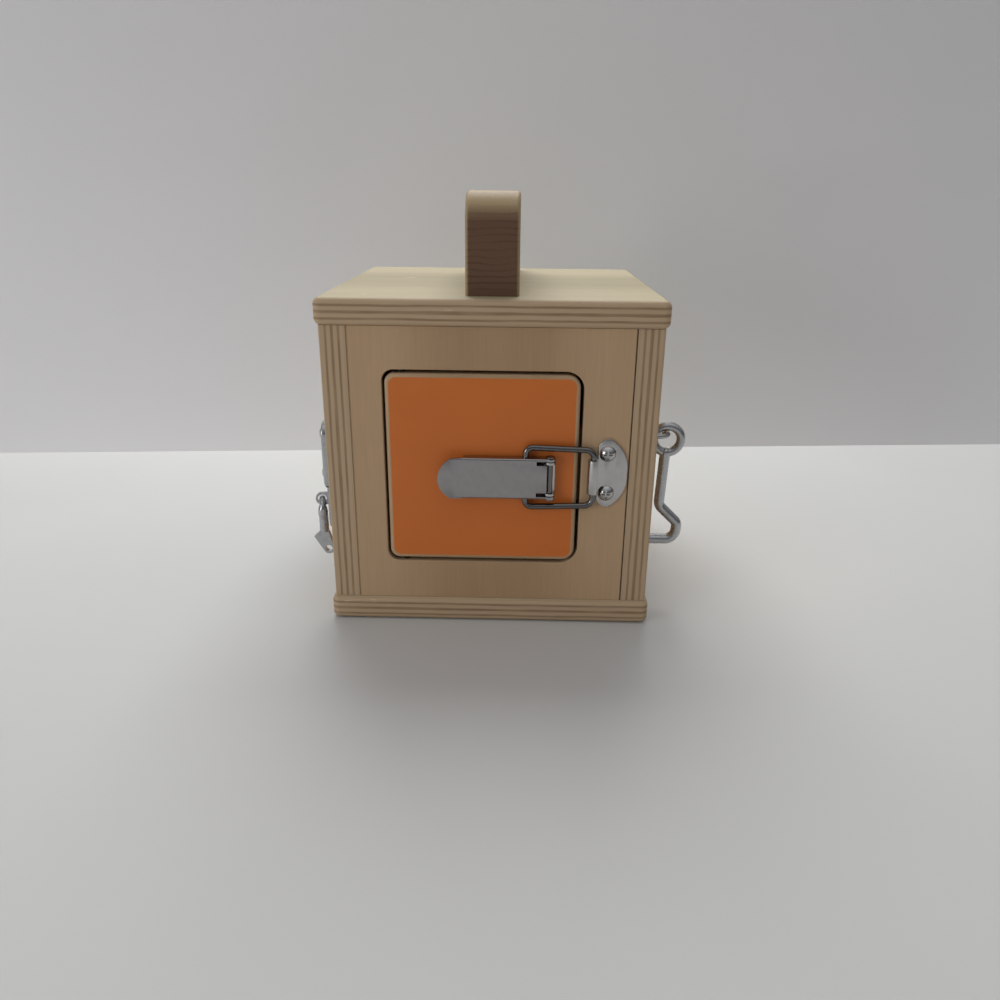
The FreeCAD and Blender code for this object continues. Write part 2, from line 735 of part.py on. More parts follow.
def handle_washers():
    rings = []
    for y in handle_screw_places():
        seat = FreeCAD.Vector(0, y, WALL_TOP - WASHER_THICKNESS)
        ring = Part.makeCylinder(WASHER_RADIUS, WASHER_THICKNESS, seat)
        rings.append(ring.cut(screw_in_handle(y, HANDLE_SCREW_RADIUS + GLUE_GAP, 0.0)))
    return rings


def lever_profile():
    """The lever's sheet seen along Z: flat, with the tip bent outwards past the crease."""
    inner = LEVER_DEPTH - LEVER_SHEET
    end = LEVER_PIN_X - LEVER_TONGUE_TO_PIN
    z = LATCH_Z - LEVER_WIDTH / 2
    points = [
        at(end, inner, z),
        at(LEVER_CREASE_X, inner, z),
        at(LEVER_TIP_X, inner + LEVER_TIP_LIFT, z),
        at(LEVER_TIP_X, LEVER_DEPTH + LEVER_TIP_LIFT, z),
        at(LEVER_CREASE_X, LEVER_DEPTH, z),
        at(end, LEVER_DEPTH, z),
    ]
    return Part.Face(Part.makePolygon(points + [points[0]])).extrude(UP * LEVER_WIDTH)


def lever_outline():
    """The lever's outline seen from the front, with its round tip, as a thick cutter."""
    half = LEVER_WIDTH / 2
    end = LEVER_PIN_X
    shoulder = LEVER_TIP_X + LEVER_TIP_ROUND
    edges = [
        line(at(end, 0, LATCH_Z - half), at(shoulder, 0, LATCH_Z - half)),
        arc(at(shoulder, 0, LATCH_Z - half), at(LEVER_TIP_X, 0, LATCH_Z), at(shoulder, 0, LATCH_Z + half)),
        line(at(shoulder, 0, LATCH_Z + half), at(end, 0, LATCH_Z + half)),
        line(at(end, 0, LATCH_Z + half), at(end, 0, LATCH_Z - half)),
    ]
    return face_of(edges).extrude(OUT * (LEVER_DEPTH + LEVER_TIP_LIFT + 1))


def lever_flange(side):
    """One bent-down side of the lever, with its ears round the pin and round the bail."""
    outer = LEVER_WIDTH / 2
    z0 = LATCH_Z + side * outer - (LEVER_SHEET if side > 0 else 0)
    z1 = z0 + LEVER_SHEET
    start = LEVER_TIP_X + LEVER_FLANGE_FROM_TIP
    foot = LEVER_DEPTH - LEVER_SHEET - LEVER_FLANGE_DEPTH
    strip = block(start, LEVER_PIN_X, foot, LEVER_DEPTH, z0, z1)
    pin_ear = upright(LEVER_PIN_X, LEVER_PIN_DEPTH, z0, z1, LEVER_EAR)
    bail_ear = upright(BAIL_PIVOT_X, BAIL_DEPTH, z0, z1, BAIL_EAR)
    return strip.multiFuse([pin_ear, bail_ear])


def lever_notch(side):
    """The room beside the lever's tongue that the base's ear stands in."""
    near = LATCH_Z + side * (BASE_HALF_HEIGHT - LEVER_SHEET - SIDE_GAP)
    far = LATCH_Z + side * LEVER_WIDTH
    start = LEVER_PIN_X - LEVER_NOTCH_LENGTH
    return block(start, LEVER_PIN_X, 0, LEVER_DEPTH + 1, min(near, far), max(near, far))


def is_lever_bend(edge):
    """Whether an edge is one of the long outer bends between the lever's face and its flanges."""
    box = edge.BoundBox
    outward = abs(-HALF - LEVER_DEPTH - box.YMin) < 0.01 and box.YLength < 0.01
    return outward and box.ZLength < 0.01 and box.XLength > LEVER_LENGTH / 2


def toggle_lever():
    """The lever: a bent sheet with a round tip, a tongue at the pin and two flanges with ears."""
    body = lever_profile().common(lever_outline())
    body = body.cut(lever_notch(-1)).cut(lever_notch(1))
    body = body.multiFuse([lever_flange(-1), lever_flange(1)]).removeSplitter()
    body = body.makeFillet(LEVER_BEND, [edge for edge in body.Edges if is_lever_bend(edge)])
    low = LATCH_Z - LEVER_WIDTH
    high = LATCH_Z + LEVER_WIDTH
    pin = upright(LEVER_PIN_X, LEVER_PIN_DEPTH, low, high, LEVER_PIN_RADIUS + RUNNING_GAP)
    bail = upright(BAIL_PIVOT_X, BAIL_DEPTH, low, high, BAIL_WIRE + RUNNING_GAP)
    return body.cut(pin).cut(bail)


def toggle_pin():
    """The lever's pin, with a small head outside each flange."""
    reach = LEVER_WIDTH / 2 + KNUCKLE_GAP
    body = upright(LEVER_PIN_X, LEVER_PIN_DEPTH, LATCH_Z - reach, LATCH_Z + reach, LEVER_PIN_RADIUS)
    heads = []
    for side in (-1, 1):
        start = LATCH_Z + side * reach
        end = start + side * LEVER_PIN_HEAD_HEIGHT
        heads.append(upright(LEVER_PIN_X, LEVER_PIN_DEPTH, start, end, LEVER_PIN_HEAD))
    return body.multiFuse(heads).removeSplitter()


def toggle_bail():
    """The closed wire loop. Its pivot leg lies under the lever and its free leg in the strike's lip."""
    corners = [
        at(BAIL_PIVOT_X, BAIL_DEPTH, LATCH_Z - BAIL_HALF_HEIGHT),
        at(BAIL_END_X, BAIL_DEPTH, LATCH_Z - BAIL_FREE_HALF_HEIGHT),
        at(BAIL_END_X, BAIL_DEPTH, LATCH_Z + BAIL_FREE_HALF_HEIGHT),
        at(BAIL_PIVOT_X, BAIL_DEPTH, LATCH_Z + BAIL_HALF_HEIGHT),
    ]
    bends = [BAIL_PIVOT_BEND, BAIL_FREE_BEND, BAIL_FREE_BEND, BAIL_PIVOT_BEND]
    return bent_rod(corners, BAIL_WIRE, bends, closed=True)


def toggle_base():
    """The latch's base plate on the door, with two ears that carry the lever's pin."""
    floor = DOOR_PROUD
    top = floor + BASE_SHEET
    end = LEVER_PIN_X + LEVER_EAR
    half = BASE_HALF_HEIGHT
    low = LATCH_Z - half
    high = LATCH_Z + half
    plate = rounded_plate(BASE_START_X, end, low, high, floor, top, BASE_CORNER, SHEET_CORNER)
    ears = []
    for side in (-1, 1):
        z0 = LATCH_Z + side * half - (LEVER_SHEET if side > 0 else 0)
        z1 = z0 + LEVER_SHEET
        ears.append(block(LEVER_PIN_X - LEVER_EAR, end, floor, LEVER_PIN_DEPTH, z0, z1))
        ears.append(upright(LEVER_PIN_X, LEVER_PIN_DEPTH, z0, z1, LEVER_EAR))
    body = plate.multiFuse(ears).removeSplitter()
    cuts = [upright(LEVER_PIN_X, LEVER_PIN_DEPTH, low, high, LEVER_PIN_RADIUS + FIXED_GAP)]
    cuts += [plate_hole(x, depth, z, BASE_SHEET) for x, depth, z in toggle_screw_places()]
    return body.cut(Part.makeCompound(cuts))


def strike_outline():
    """The strike's plate: straight beside the lip, round over the screws, bulging on the far side."""
    left = STRIKE_LEFT
    right = STRIKE_RIGHT
    half = STRIKE_HALF_HEIGHT
    shoulder = STRIKE_SHOULDER
    top_x = left + 0.4 * (right - left)
    bulge_x = left + 0.84 * (right - left)
    mid_z = (half + shoulder) / 2 + 0.9

    def p(x, z):
        return at(x, 0, STRIKE_Z + z)

    edges = [
        line(p(left, -shoulder), p(left, shoulder)),
        arc(p(left, shoulder), p(left + 0.9, mid_z), p(top_x, half)),
        arc(p(top_x, half), p(bulge_x, shoulder), p(right, 0)),
        arc(p(right, 0), p(bulge_x, -shoulder), p(top_x, -half)),
        arc(p(top_x, -half), p(left + 0.9, -mid_z), p(left, -shoulder)),
    ]
    return face_of(edges).extrude(OUT * STRIKE_SHEET)


def strike_lip():
    """The lip that holds the bail's free leg: it rises beside the leg and curls over it."""
    inner = BAIL_WIRE + LIP_CLEARANCE
    outer = inner + STRIKE_SHEET
    z0 = LIP_LOW
    axis = at(BAIL_END_X, BAIL_DEPTH, z0)
    ring = Part.makeCylinder(outer, LIP_HIGH - LIP_LOW, axis)
    ring = ring.cut(Part.makeCylinder(inner, LIP_HIGH - LIP_LOW, axis))
    mouth = math.radians(LIP_OVER_TOP)
    far = 3 * outer
    wedge = [
        axis,
        at(BAIL_END_X, BAIL_DEPTH - far, z0),
        at(BAIL_END_X + far, BAIL_DEPTH - far, z0),
        at(BAIL_END_X + far, BAIL_DEPTH + far, z0),
        at(BAIL_END_X + far * math.sin(mouth), BAIL_DEPTH + far * math.cos(mouth), z0),
        axis,
    ]
    return ring.cut(Part.Face(Part.makePolygon(wedge)).extrude(UP * (LIP_HIGH - LIP_LOW)))


def strike_plate():
    bridge = block(BAIL_END_X, STRIKE_LEFT + TAB_LAP, 0, STRIKE_SHEET, LIP_LOW, LIP_HIGH)
    body = strike_outline().multiFuse([bridge, strike_lip()]).removeSplitter()
    holes = [plate_hole(x, depth, z, STRIKE_SHEET) for x, depth, z in strike_screw_places()]
    return body.cut(Part.makeCompound(holes))


def eye_height():
    """The height of the eye's wire, which the hook's ring hangs on."""
    return HOOK_RING_Z + HOOK_RING - HOOK_RING_WIRE - HANG_GAP - EYE_WIRE


def door_eye_x():
    """The door's eye stands where the tip comes when the hook lies level."""
    return EYE_X - HOOK_HEEL_DROP


def eye_centre_depth(face=0.0):
    return face + EYE_RING + EYE_WIRE - EYE_SINK


def screw_eye(x, z, face=0.0, extra=0.0):
    """A screw eye: a level ring and the shank that is turned into the wood."""
    centre = at(x, eye_centre_depth(face), z)
    ring = Part.makeTorus(EYE_RING, EYE_WIRE + extra, centre, UP)
    start = face + EYE_WIRE - EYE_SINK
    shank = rod(at(x, start, z), at(x, start - EYE_SHANK_LENGTH, z), EYE_WIRE + extra)
    return ring.fuse(shank)


def eye_seat(x, z, face=0.0):
    return screw_eye(x, z, face, FIXED_GAP)


def hook():
    """The cast hook that hangs from the wall's eye: ring, shank, hump and a tip that points to the wall."""
    depth = eye_centre_depth() + EYE_RING
    ring = Part.makeTorus(HOOK_RING, HOOK_RING_WIRE, at(EYE_X, depth, HOOK_RING_Z), ALONG)
    neck = at(EYE_X, depth - HOOK_NECK_SHIFT, HOOK_RING_Z - HOOK_RING)
    kink = at(EYE_X, HOOK_KINK_DEPTH, HOOK_RING_Z - HOOK_KINK_DROP)
    hump = at(EYE_X, HOOK_HUMP_DEPTH, HOOK_RING_Z - HOOK_HUMP_DROP)
    heel = at(EYE_X, HOOK_HEEL_DEPTH, HOOK_HEEL_Z)
    tip = at(EYE_X, HOOK_TIP_DEPTH + HOOK_TIP_ROD, HOOK_HEEL_Z)
    bar = bent_rod([neck, kink, hump, heel, tip], HOOK_ROD, HOOK_BENDS)
    nose = Part.makeCone(HOOK_ROD, HOOK_TIP_ROD * 0.7, HOOK_TIP_ROD, tip, IN)
    return ring.multiFuse([bar, nose, Part.makeSphere(HOOK_ROD, neck)]).removeSplitter()


def clip_frame(shape, turn=CLIP_TURN + 180):
    """Turns a clip piece about the upright line through the clip, so that the gate is at the back."""
    placed = shape.copy()
    placed.rotate(at(CLIP_X, CLIP_DEPTH, 0), UP, -turn)
    return placed


def lug_hole_z():
    return CLIP_TOP_Z - CLIP_WIRE - LUG_REST_GAP + LUG_HOLE


def clip_lug():
    """The upright ear that the clip's claw hangs through, with its foot in the tongue."""
    x0 = CLIP_X - LUG_THICKNESS / 2
    x1 = CLIP_X + LUG_THICKNESS / 2
    z = lug_hole_z()
    ear = rod(at(x0, CLIP_DEPTH, z), at(x1, CLIP_DEPTH, z), LUG_RADIUS)
    foot = block(x0, x1, CLIP_TONGUE_THICKNESS * 0.4, CLIP_DEPTH, z - LUG_RADIUS, z + LUG_RADIUS)
    hole = rod(at(x0, CLIP_DEPTH, z), at(x1, CLIP_DEPTH, z), LUG_HOLE)
    return clip_frame(ear.fuse(foot).cut(hole), CLIP_TURN)


def clip_plate():
    """The cast plate near the wall's front edge: a thick pad with two screws, a thin tongue with an ear."""
    pad = rounded_plate(
        CLIP_X - CLIP_PLATE_HALF_WIDTH,
        CLIP_X + CLIP_PLATE_HALF_WIDTH,
        CLIP_PAD_BOTTOM,
        CLIP_PAD_TOP,
        0,
        CLIP_PAD_THICKNESS,
        CLIP_TONGUE_HALF_WIDTH,
        CLIP_TONGUE_HALF_WIDTH,
    )
    pad = pad.makeFillet(CLIP_PAD_THICKNESS * 0.35, edges_at_depth(pad, CLIP_PAD_THICKNESS))
    tongue = rounded_plate(
        CLIP_X - CLIP_TONGUE_HALF_WIDTH,
        CLIP_X + CLIP_TONGUE_HALF_WIDTH,
        CLIP_PAD_BOTTOM - CLIP_TONGUE_LENGTH,
        CLIP_PAD_BOTTOM + CLIP_TONGUE_HALF_WIDTH,
        0,
        CLIP_TONGUE_THICKNESS,
        CLIP_TONGUE_HALF_WIDTH * 0.8,
        CLIP_TONGUE_HALF_WIDTH * 0.8,
    )
    body = pad.multiFuse([tongue, clip_lug()]).removeSplitter()
    holes = [plate_hole(x, depth, z, CLIP_PAD_THICKNESS) for x, depth, z in clip_screw_places()]
    return body.cut(Part.makeCompound(holes))


def on_clip_ring(degrees, reach):
    """A point at an angle from the top of the clip's ring, positive towards the gate."""
    angle = math.radians(degrees)
    return at(CLIP_X + reach * math.sin(angle), CLIP_DEPTH, CLIP_RING_Z + reach * math.cos(angle))


def clip_arc(start, end, wire):
    """A stretch of the clip's ring between two angles from its top."""
    centre = at(CLIP_X, CLIP_DEPTH, CLIP_RING_Z)
    first = on_clip_ring(start, 1.0) - centre
    return ring_part(centre, IN, first, CLIP_RING, wire, end - start)


def gate_start():
    """The angle of the gate's nose, whose ball stands clear of the claw's tip."""
    return CLAW_TIP_ANGLE + math.degrees((CLIP_WIRE + SIDE_GAP + GATE_WIRE) / CLIP_RING)


def gate_pivot():
    return on_clip_ring(GATE_END, CLIP_RING)


def gate_sweep():
    """The room that the gate's nose passes through as the gate opens."""
    pivot = gate_pivot()
    reach = on_clip_ring(gate_start(), CLIP_RING) - pivot
    distance = reach.Length
    wire = GATE_WIRE + SIDE_GAP
    swing = GATE_SWING + math.degrees(wire / distance)
    return ring_part(pivot, OUT, reach.normalize(), distance, wire, swing)


def clip_lobe():
    """The thick back of the claw: a spindle round an upright line, widest at its middle."""
    x = CLIP_X - CLIP_LOBE_OFFSET
    top = CLIP_RING_Z + CLIP_LOBE_ABOVE
    foot = CLIP_RING_Z - CLIP_LOBE_BELOW
    edges = [
        line(at(x, CLIP_DEPTH, foot), at(x + CLIP_LOBE_FOOT, CLIP_DEPTH, foot)),
        arc(
            at(x + CLIP_LOBE_FOOT, CLIP_DEPTH, foot),
            at(x + CLIP_LOBE, CLIP_DEPTH, (foot + top) / 2),
            at(x + CLIP_LOBE_TOP, CLIP_DEPTH, top),
        ),
        line(at(x + CLIP_LOBE_TOP, CLIP_DEPTH, top), at(x, CLIP_DEPTH, top)),
        line(at(x, CLIP_DEPTH, top), at(x, CLIP_DEPTH, foot)),
    ]
    return face_of(edges).revolve(at(x, CLIP_DEPTH, 0), UP, 360)


def clip_body():
    """The clip's claw and neck, with a slot for the gate and a chamber for the swivel's head."""
    claw = clip_arc(-180, CLAW_TIP_ANGLE, CLIP_WIRE)
    tip = Part.makeSphere(CLIP_WIRE, on_clip_ring(CLAW_TIP_ANGLE, CLIP_RING))
    neck_top = CLIP_RING_Z - CLIP_RING
    neck = rod(at(CLIP_X, CLIP_DEPTH, CLIP_NECK_BOTTOM), at(CLIP_X, CLIP_DEPTH, neck_top), CLIP_NECK)
    shoulder = Part.makeSphere(CLIP_NECK, at(CLIP_X, CLIP_DEPTH, neck_top))
    pivot = gate_pivot()
    boss = rod(pivot + OUT * GATE_BOSS, pivot + IN * GATE_BOSS, GATE_HUB)
    body = claw.multiFuse([tip, neck, shoulder, boss, clip_lobe()]).removeSplitter()
    slot_half = GATE_WIRE + SIDE_GAP
    slot = rod(pivot + OUT * slot_half, pivot + IN * slot_half, GATE_HUB + SIDE_GAP)
    pin = rod(pivot + OUT * GATE_BOSS, pivot + IN * GATE_BOSS, GATE_PIN + FIXED_GAP)
    stem = upright(CLIP_X, CLIP_DEPTH, CLIP_NECK_BOTTOM, SWIVEL_CHAMBER_Z, SWIVEL_STEM + SWIVEL_GAP)
    chamber_low = SWIVEL_CHAMBER_Z - SWIVEL_HEAD_HEIGHT - 2 * SWIVEL_GAP
    chamber = upright(CLIP_X, CLIP_DEPTH, chamber_low, SWIVEL_CHAMBER_Z, SWIVEL_HEAD + SWIVEL_GAP)
    swing = clip_arc(gate_start(), GATE_END, GATE_WIRE + SIDE_GAP)
    for cut in [slot, pin, stem, chamber, swing, gate_sweep()]:
        body = body.cut(cut)
    return clip_frame(body)


def clip_gate():
    """The sprung gate that closes the claw: a hub on the pin and a finger that follows the ring."""
    pivot = gate_pivot()
    hub = rod(pivot + OUT * GATE_WIRE, pivot + IN * GATE_WIRE, GATE_HUB)
    finger = clip_arc(gate_start(), GATE_END, GATE_WIRE)
    nose = Part.makeSphere(GATE_WIRE, on_clip_ring(gate_start(), CLIP_RING))
    body = hub.multiFuse([finger, nose]).removeSplitter()
    pin = rod(pivot + OUT * CLIP_RING, pivot + IN * CLIP_RING, GATE_PIN + RUNNING_GAP)
    return clip_frame(body.cut(pin))


def clip_gate_pin():
    pivot = gate_pivot()
    return clip_frame(rod(pivot + OUT * GATE_BOSS, pivot + IN * GATE_BOSS, GATE_PIN))


def clip_eye():
    """The clip's swivelling eye: a flat drop that leans to the wall, on a stem headed inside the neck."""
    half = CLIP_EYE_WIDTH / 2
    y0 = CLIP_X - CLIP_EYE_THICKNESS / 2
    top = CLIP_NECK_BOTTOM - SIDE_GAP
    foot = CLIP_NECK_BOTTOM - CLIP_EYE_LENGTH
    shoulder = CLIP_NECK_BOTTOM - CLIP_EYE_SHOULDER
    rim = CLIP_EYE_HOLE + CLIP_EYE_RIM
    hole_z = foot + rim

    def p(side, z):
        return at(y0, CLIP_DEPTH + side, z)

    edges = [
        line(p(-CLIP_NECK, top), p(CLIP_NECK, top)),
        line(p(CLIP_NECK, top), p(half, shoulder)),
        line(p(half, shoulder), p(rim * 0.8 - CLIP_EYE_LEAN, hole_z - rim * 0.6)),
        arc(
            p(rim * 0.8 - CLIP_EYE_LEAN, hole_z - rim * 0.6),
            p(-rim * 0.6 - CLIP_EYE_LEAN, hole_z - rim * 0.8),
            p(-rim - CLIP_EYE_LEAN, hole_z),
        ),
        line(p(-rim - CLIP_EYE_LEAN, hole_z), p(-CLIP_NECK, top)),
    ]
    plate = face_of(edges).extrude(ALONG * CLIP_EYE_THICKNESS)
    hole_depth = CLIP_DEPTH - CLIP_EYE_LEAN
    hole = rod(at(y0, hole_depth, hole_z), at(y0 + CLIP_EYE_THICKNESS, hole_depth, hole_z), CLIP_EYE_HOLE)
    head_low = SWIVEL_CHAMBER_Z - SWIVEL_GAP - SWIVEL_HEAD_HEIGHT
    stem = upright(CLIP_X, CLIP_DEPTH, top - SWIVEL_ROOT, head_low + SWIVEL_GAP, SWIVEL_STEM)
    head = upright(CLIP_X, CLIP_DEPTH, head_low, head_low + SWIVEL_HEAD_HEIGHT, SWIVEL_HEAD)
    return plate.cut(hole).multiFuse([stem, head]).removeSplitter()


def knuckle(z0, z1, start_x, end_x, depth0, depth1):
    """A hinge knuckle on the hasp's axis with its tab of sheet."""
    barrel = rod(at(HASP_AXIS_X, HASP_AXIS_DEPTH, z0), at(HASP_AXIS_X, HASP_AXIS_DEPTH, z1), HASP_KNUCKLE)
    tab = block(start_x, end_x, depth0, depth1, z0, z1)
    return barrel.fuse(tab)


def hasp_levels():
    low = HASP_Z - HASP_HEIGHT / 2
    high = HASP_Z + HASP_HEIGHT / 2
    return low, low + HASP_END_KNUCKLE, high - HASP_END_KNUCKLE, high


def eased_plate(x0, x1, z0, z1, depth0, depth1, low_corner, high_corner):
    """A plate of sheet metal whose outer rim is eased."""
    plate = rounded_plate(x0, x1, z0, z1, depth0, depth1, low_corner, high_corner)
    return plate.makeFillet(SHEET_EASE, edges_at_depth(plate, depth1))


def hasp_pin():
    low, _, _, high = hasp_levels()
    return rod(at(HASP_AXIS_X, HASP_AXIS_DEPTH, low), at(HASP_AXIS_X, HASP_AXIS_DEPTH, high), HASP_PIN)


def hasp_bore(gap):
    low, _, _, high = hasp_levels()
    return rod(at(HASP_AXIS_X, HASP_AXIS_DEPTH, low), at(HASP_AXIS_X, HASP_AXIS_DEPTH, high), HASP_PIN + gap)


def hasp_fixed_leaf():
    """The hasp's leaf on the door, with the two end knuckles."""
    low, low_end, high_start, high = hasp_levels()
    face = DOOR_PROUD
    end = HASP_AXIS_X - HASP_KNUCKLE - SIDE_GAP
    corner = HASP_HEIGHT / 4
    start = HASP_AXIS_X - HASP_FIXED_LENGTH
    plate = eased_plate(start, end, low, high, face, face + HASP_SHEET, corner, SHEET_CORNER)
    tab = end - TAB_LAP
    under = face + SIDE_GAP
    over = face + HASP_SHEET
    lower = knuckle(low, low_end - KNUCKLE_GAP, tab, HASP_AXIS_X, under, over)
    upper = knuckle(high_start + KNUCKLE_GAP, high, tab, HASP_AXIS_X, under, over)
    body = plate.multiFuse([lower, upper]).removeSplitter().cut(hasp_bore(FIXED_GAP))
    holes = [plate_hole(x, depth, z, HASP_SHEET) for x, depth, z in hasp_screw_places()]
    return body.cut(Part.makeCompound(holes))


def hasp_leaf():
    """The hasp's slotted leaf, which closes over the staple."""
    low, low_end, high_start, high = hasp_levels()
    depth0 = HASP_LEAF_DEPTH
    depth1 = depth0 + HASP_SHEET
    start = HASP_AXIS_X + HASP_KNUCKLE + SIDE_GAP
    corner = HASP_HEIGHT * 0.35
    end = HASP_AXIS_X + HASP_LEAF_LENGTH
    plate = eased_plate(start, end, low, high, depth0, depth1, SHEET_CORNER, corner)
    centre = knuckle(low_end, high_start, HASP_AXIS_X, start + TAB_LAP, depth0, depth1)
    slot = rounded_plate(
        STAPLE_X - SLOT_BEFORE,
        STAPLE_X + SLOT_AFTER,
        HASP_Z - SLOT_HALF_HEIGHT,
        HASP_Z + SLOT_HALF_HEIGHT,
        depth0,
        depth1,
        SLOT_CORNER,
        SLOT_CORNER,
    )
    return plate.fuse(centre).removeSplitter().cut(slot).cut(hasp_bore(RUNNING_GAP))


def staple():
    """The wire staple, its legs through the plate and into the wall."""
    low, high = staple_legs()
    top = STAPLE_HEIGHT - STAPLE_WIRE
    points = [
        at(STAPLE_X, -STAPLE_IN_WALL, low),
        at(STAPLE_X, top, low),
        at(STAPLE_X, top, high),
        at(STAPLE_X, -STAPLE_IN_WALL, high),
    ]
    return bent_rod(points, STAPLE_WIRE, [0, STAPLE_BEND, STAPLE_BEND, 0])


def staple_plate():
    low = HASP_Z - STAPLE_PLATE_HALF_HEIGHT
    high = HASP_Z + STAPLE_PLATE_HALF_HEIGHT
    corner = STAPLE_PLATE_CORNER
    plate = eased_plate(STAPLE_PLATE_START, STAPLE_PLATE_END, low, high, 0, STAPLE_SHEET, corner, corner)
    holes = [plate_hole(x, depth, z, STAPLE_SHEET) for x, depth, z in staple_screw_places()]
    holes += [inward(STAPLE_X, z, 0, STAPLE_SHEET, STAPLE_WIRE + FIXED_GAP) for z in staple_legs()]
    return plate.cut(Part.makeCompound(holes))


def bolt_axis_depth():
    return DOOR_PROUD + BOLT_SHEET + BOLT_OVER_PLATE + BOLT_RADIUS


def guide(start, width, floor, gap):
    """A strap over the bolt: a half ring on two short sides, with feet flush on the plate."""
    axis = bolt_axis_depth()
    inner = BOLT_RADIUS + gap
    outer = inner + GUIDE_SHEET
    shell = rod(at(start, axis, BOLT_Z), at(start + width, axis, BOLT_Z), outer)
    sides = block(start, start + width, floor, axis, BOLT_Z - outer, BOLT_Z + outer)
    bore = rod(at(start, axis, BOLT_Z), at(start + width, axis, BOLT_Z), inner)
    inside = block(start, start + width, floor, axis, BOLT_Z - inner, BOLT_Z + inner)
    over = block(start, start + width, floor, axis + outer, BOLT_Z - outer, BOLT_Z + outer)
    return shell.fuse(sides).common(over).cut(bore.fuse(inside))


def bolt_plate():
    """The bolt's plate on the door with its two straps."""
    floor = DOOR_PROUD
    top = floor + BOLT_SHEET
    low = BOLT_Z - BOLT_HALF_HEIGHT
    high = BOLT_Z + BOLT_HALF_HEIGHT
    corner = BOLT_PLATE_CORNER
    plate = eased_plate(BOLT_PLATE_START, BOLT_PLATE_END, low, high, floor, top, corner, corner)
    straps = [guide(BOLT_PLATE_START + step, GUIDE_WIDTH, floor, GUIDE_GAP) for step in GUIDES]
    body = plate.multiFuse(straps).removeSplitter()
    holes = [plate_hole(x, depth, z, BOLT_SHEET) for x, depth, z in bolt_screw_places()]
    return body.cut(Part.makeCompound(holes))


def bolt_keeper():
    """The keeper on the wall that the bolt slides into."""
    low = BOLT_Z - BOLT_HALF_HEIGHT
    high = BOLT_Z + BOLT_HALF_HEIGHT
    corner = BOLT_PLATE_CORNER
    plate = eased_plate(KEEPER_START, KEEPER_END, low, high, 0, BOLT_SHEET, corner, corner)
    start = (KEEPER_START + KEEPER_END - GUIDE_WIDTH) / 2
    body = plate.fuse(guide(start, GUIDE_WIDTH, 0, KEEPER_GAP)).removeSplitter()
    holes = [plate_hole(x, depth, z, BOLT_SHEET) for x, depth, z in keeper_screw_places()]
    return body.cut(Part.makeCompound(holes))


def bolt_rod():
    axis = bolt_axis_depth()
    body = rod(at(BOLT_END - BOLT_LENGTH, axis, BOLT_Z), at(BOLT_END, axis, BOLT_Z), BOLT_RADIUS)
    body = body.makeFillet(BOLT_NOSE, [e for e in body.Edges if e.BoundBox.XLength < 0.001])
    seat = rod(at(KNOB_X, axis, BOLT_Z), at(KNOB_X, axis + BOLT_RADIUS, BOLT_Z), KNOB_STEM + FIXED_GAP)
    return body.cut(seat)


def bolt_knob():
    """The knob that is screwed into the bolt between its straps."""
    axis = bolt_axis_depth()
    ball_depth = KNOB_DEPTH - KNOB_BALL
    stem = rod(at(KNOB_X, axis, BOLT_Z), at(KNOB_X, ball_depth, BOLT_Z), KNOB_STEM)
    return stem.fuse(Part.makeSphere(KNOB_BALL, at(KNOB_X, ball_depth, BOLT_Z))).removeSplitter()


def screws(places, head, height):
    return [wood_screw(x, depth, z, head, height) for x, depth, z in places]


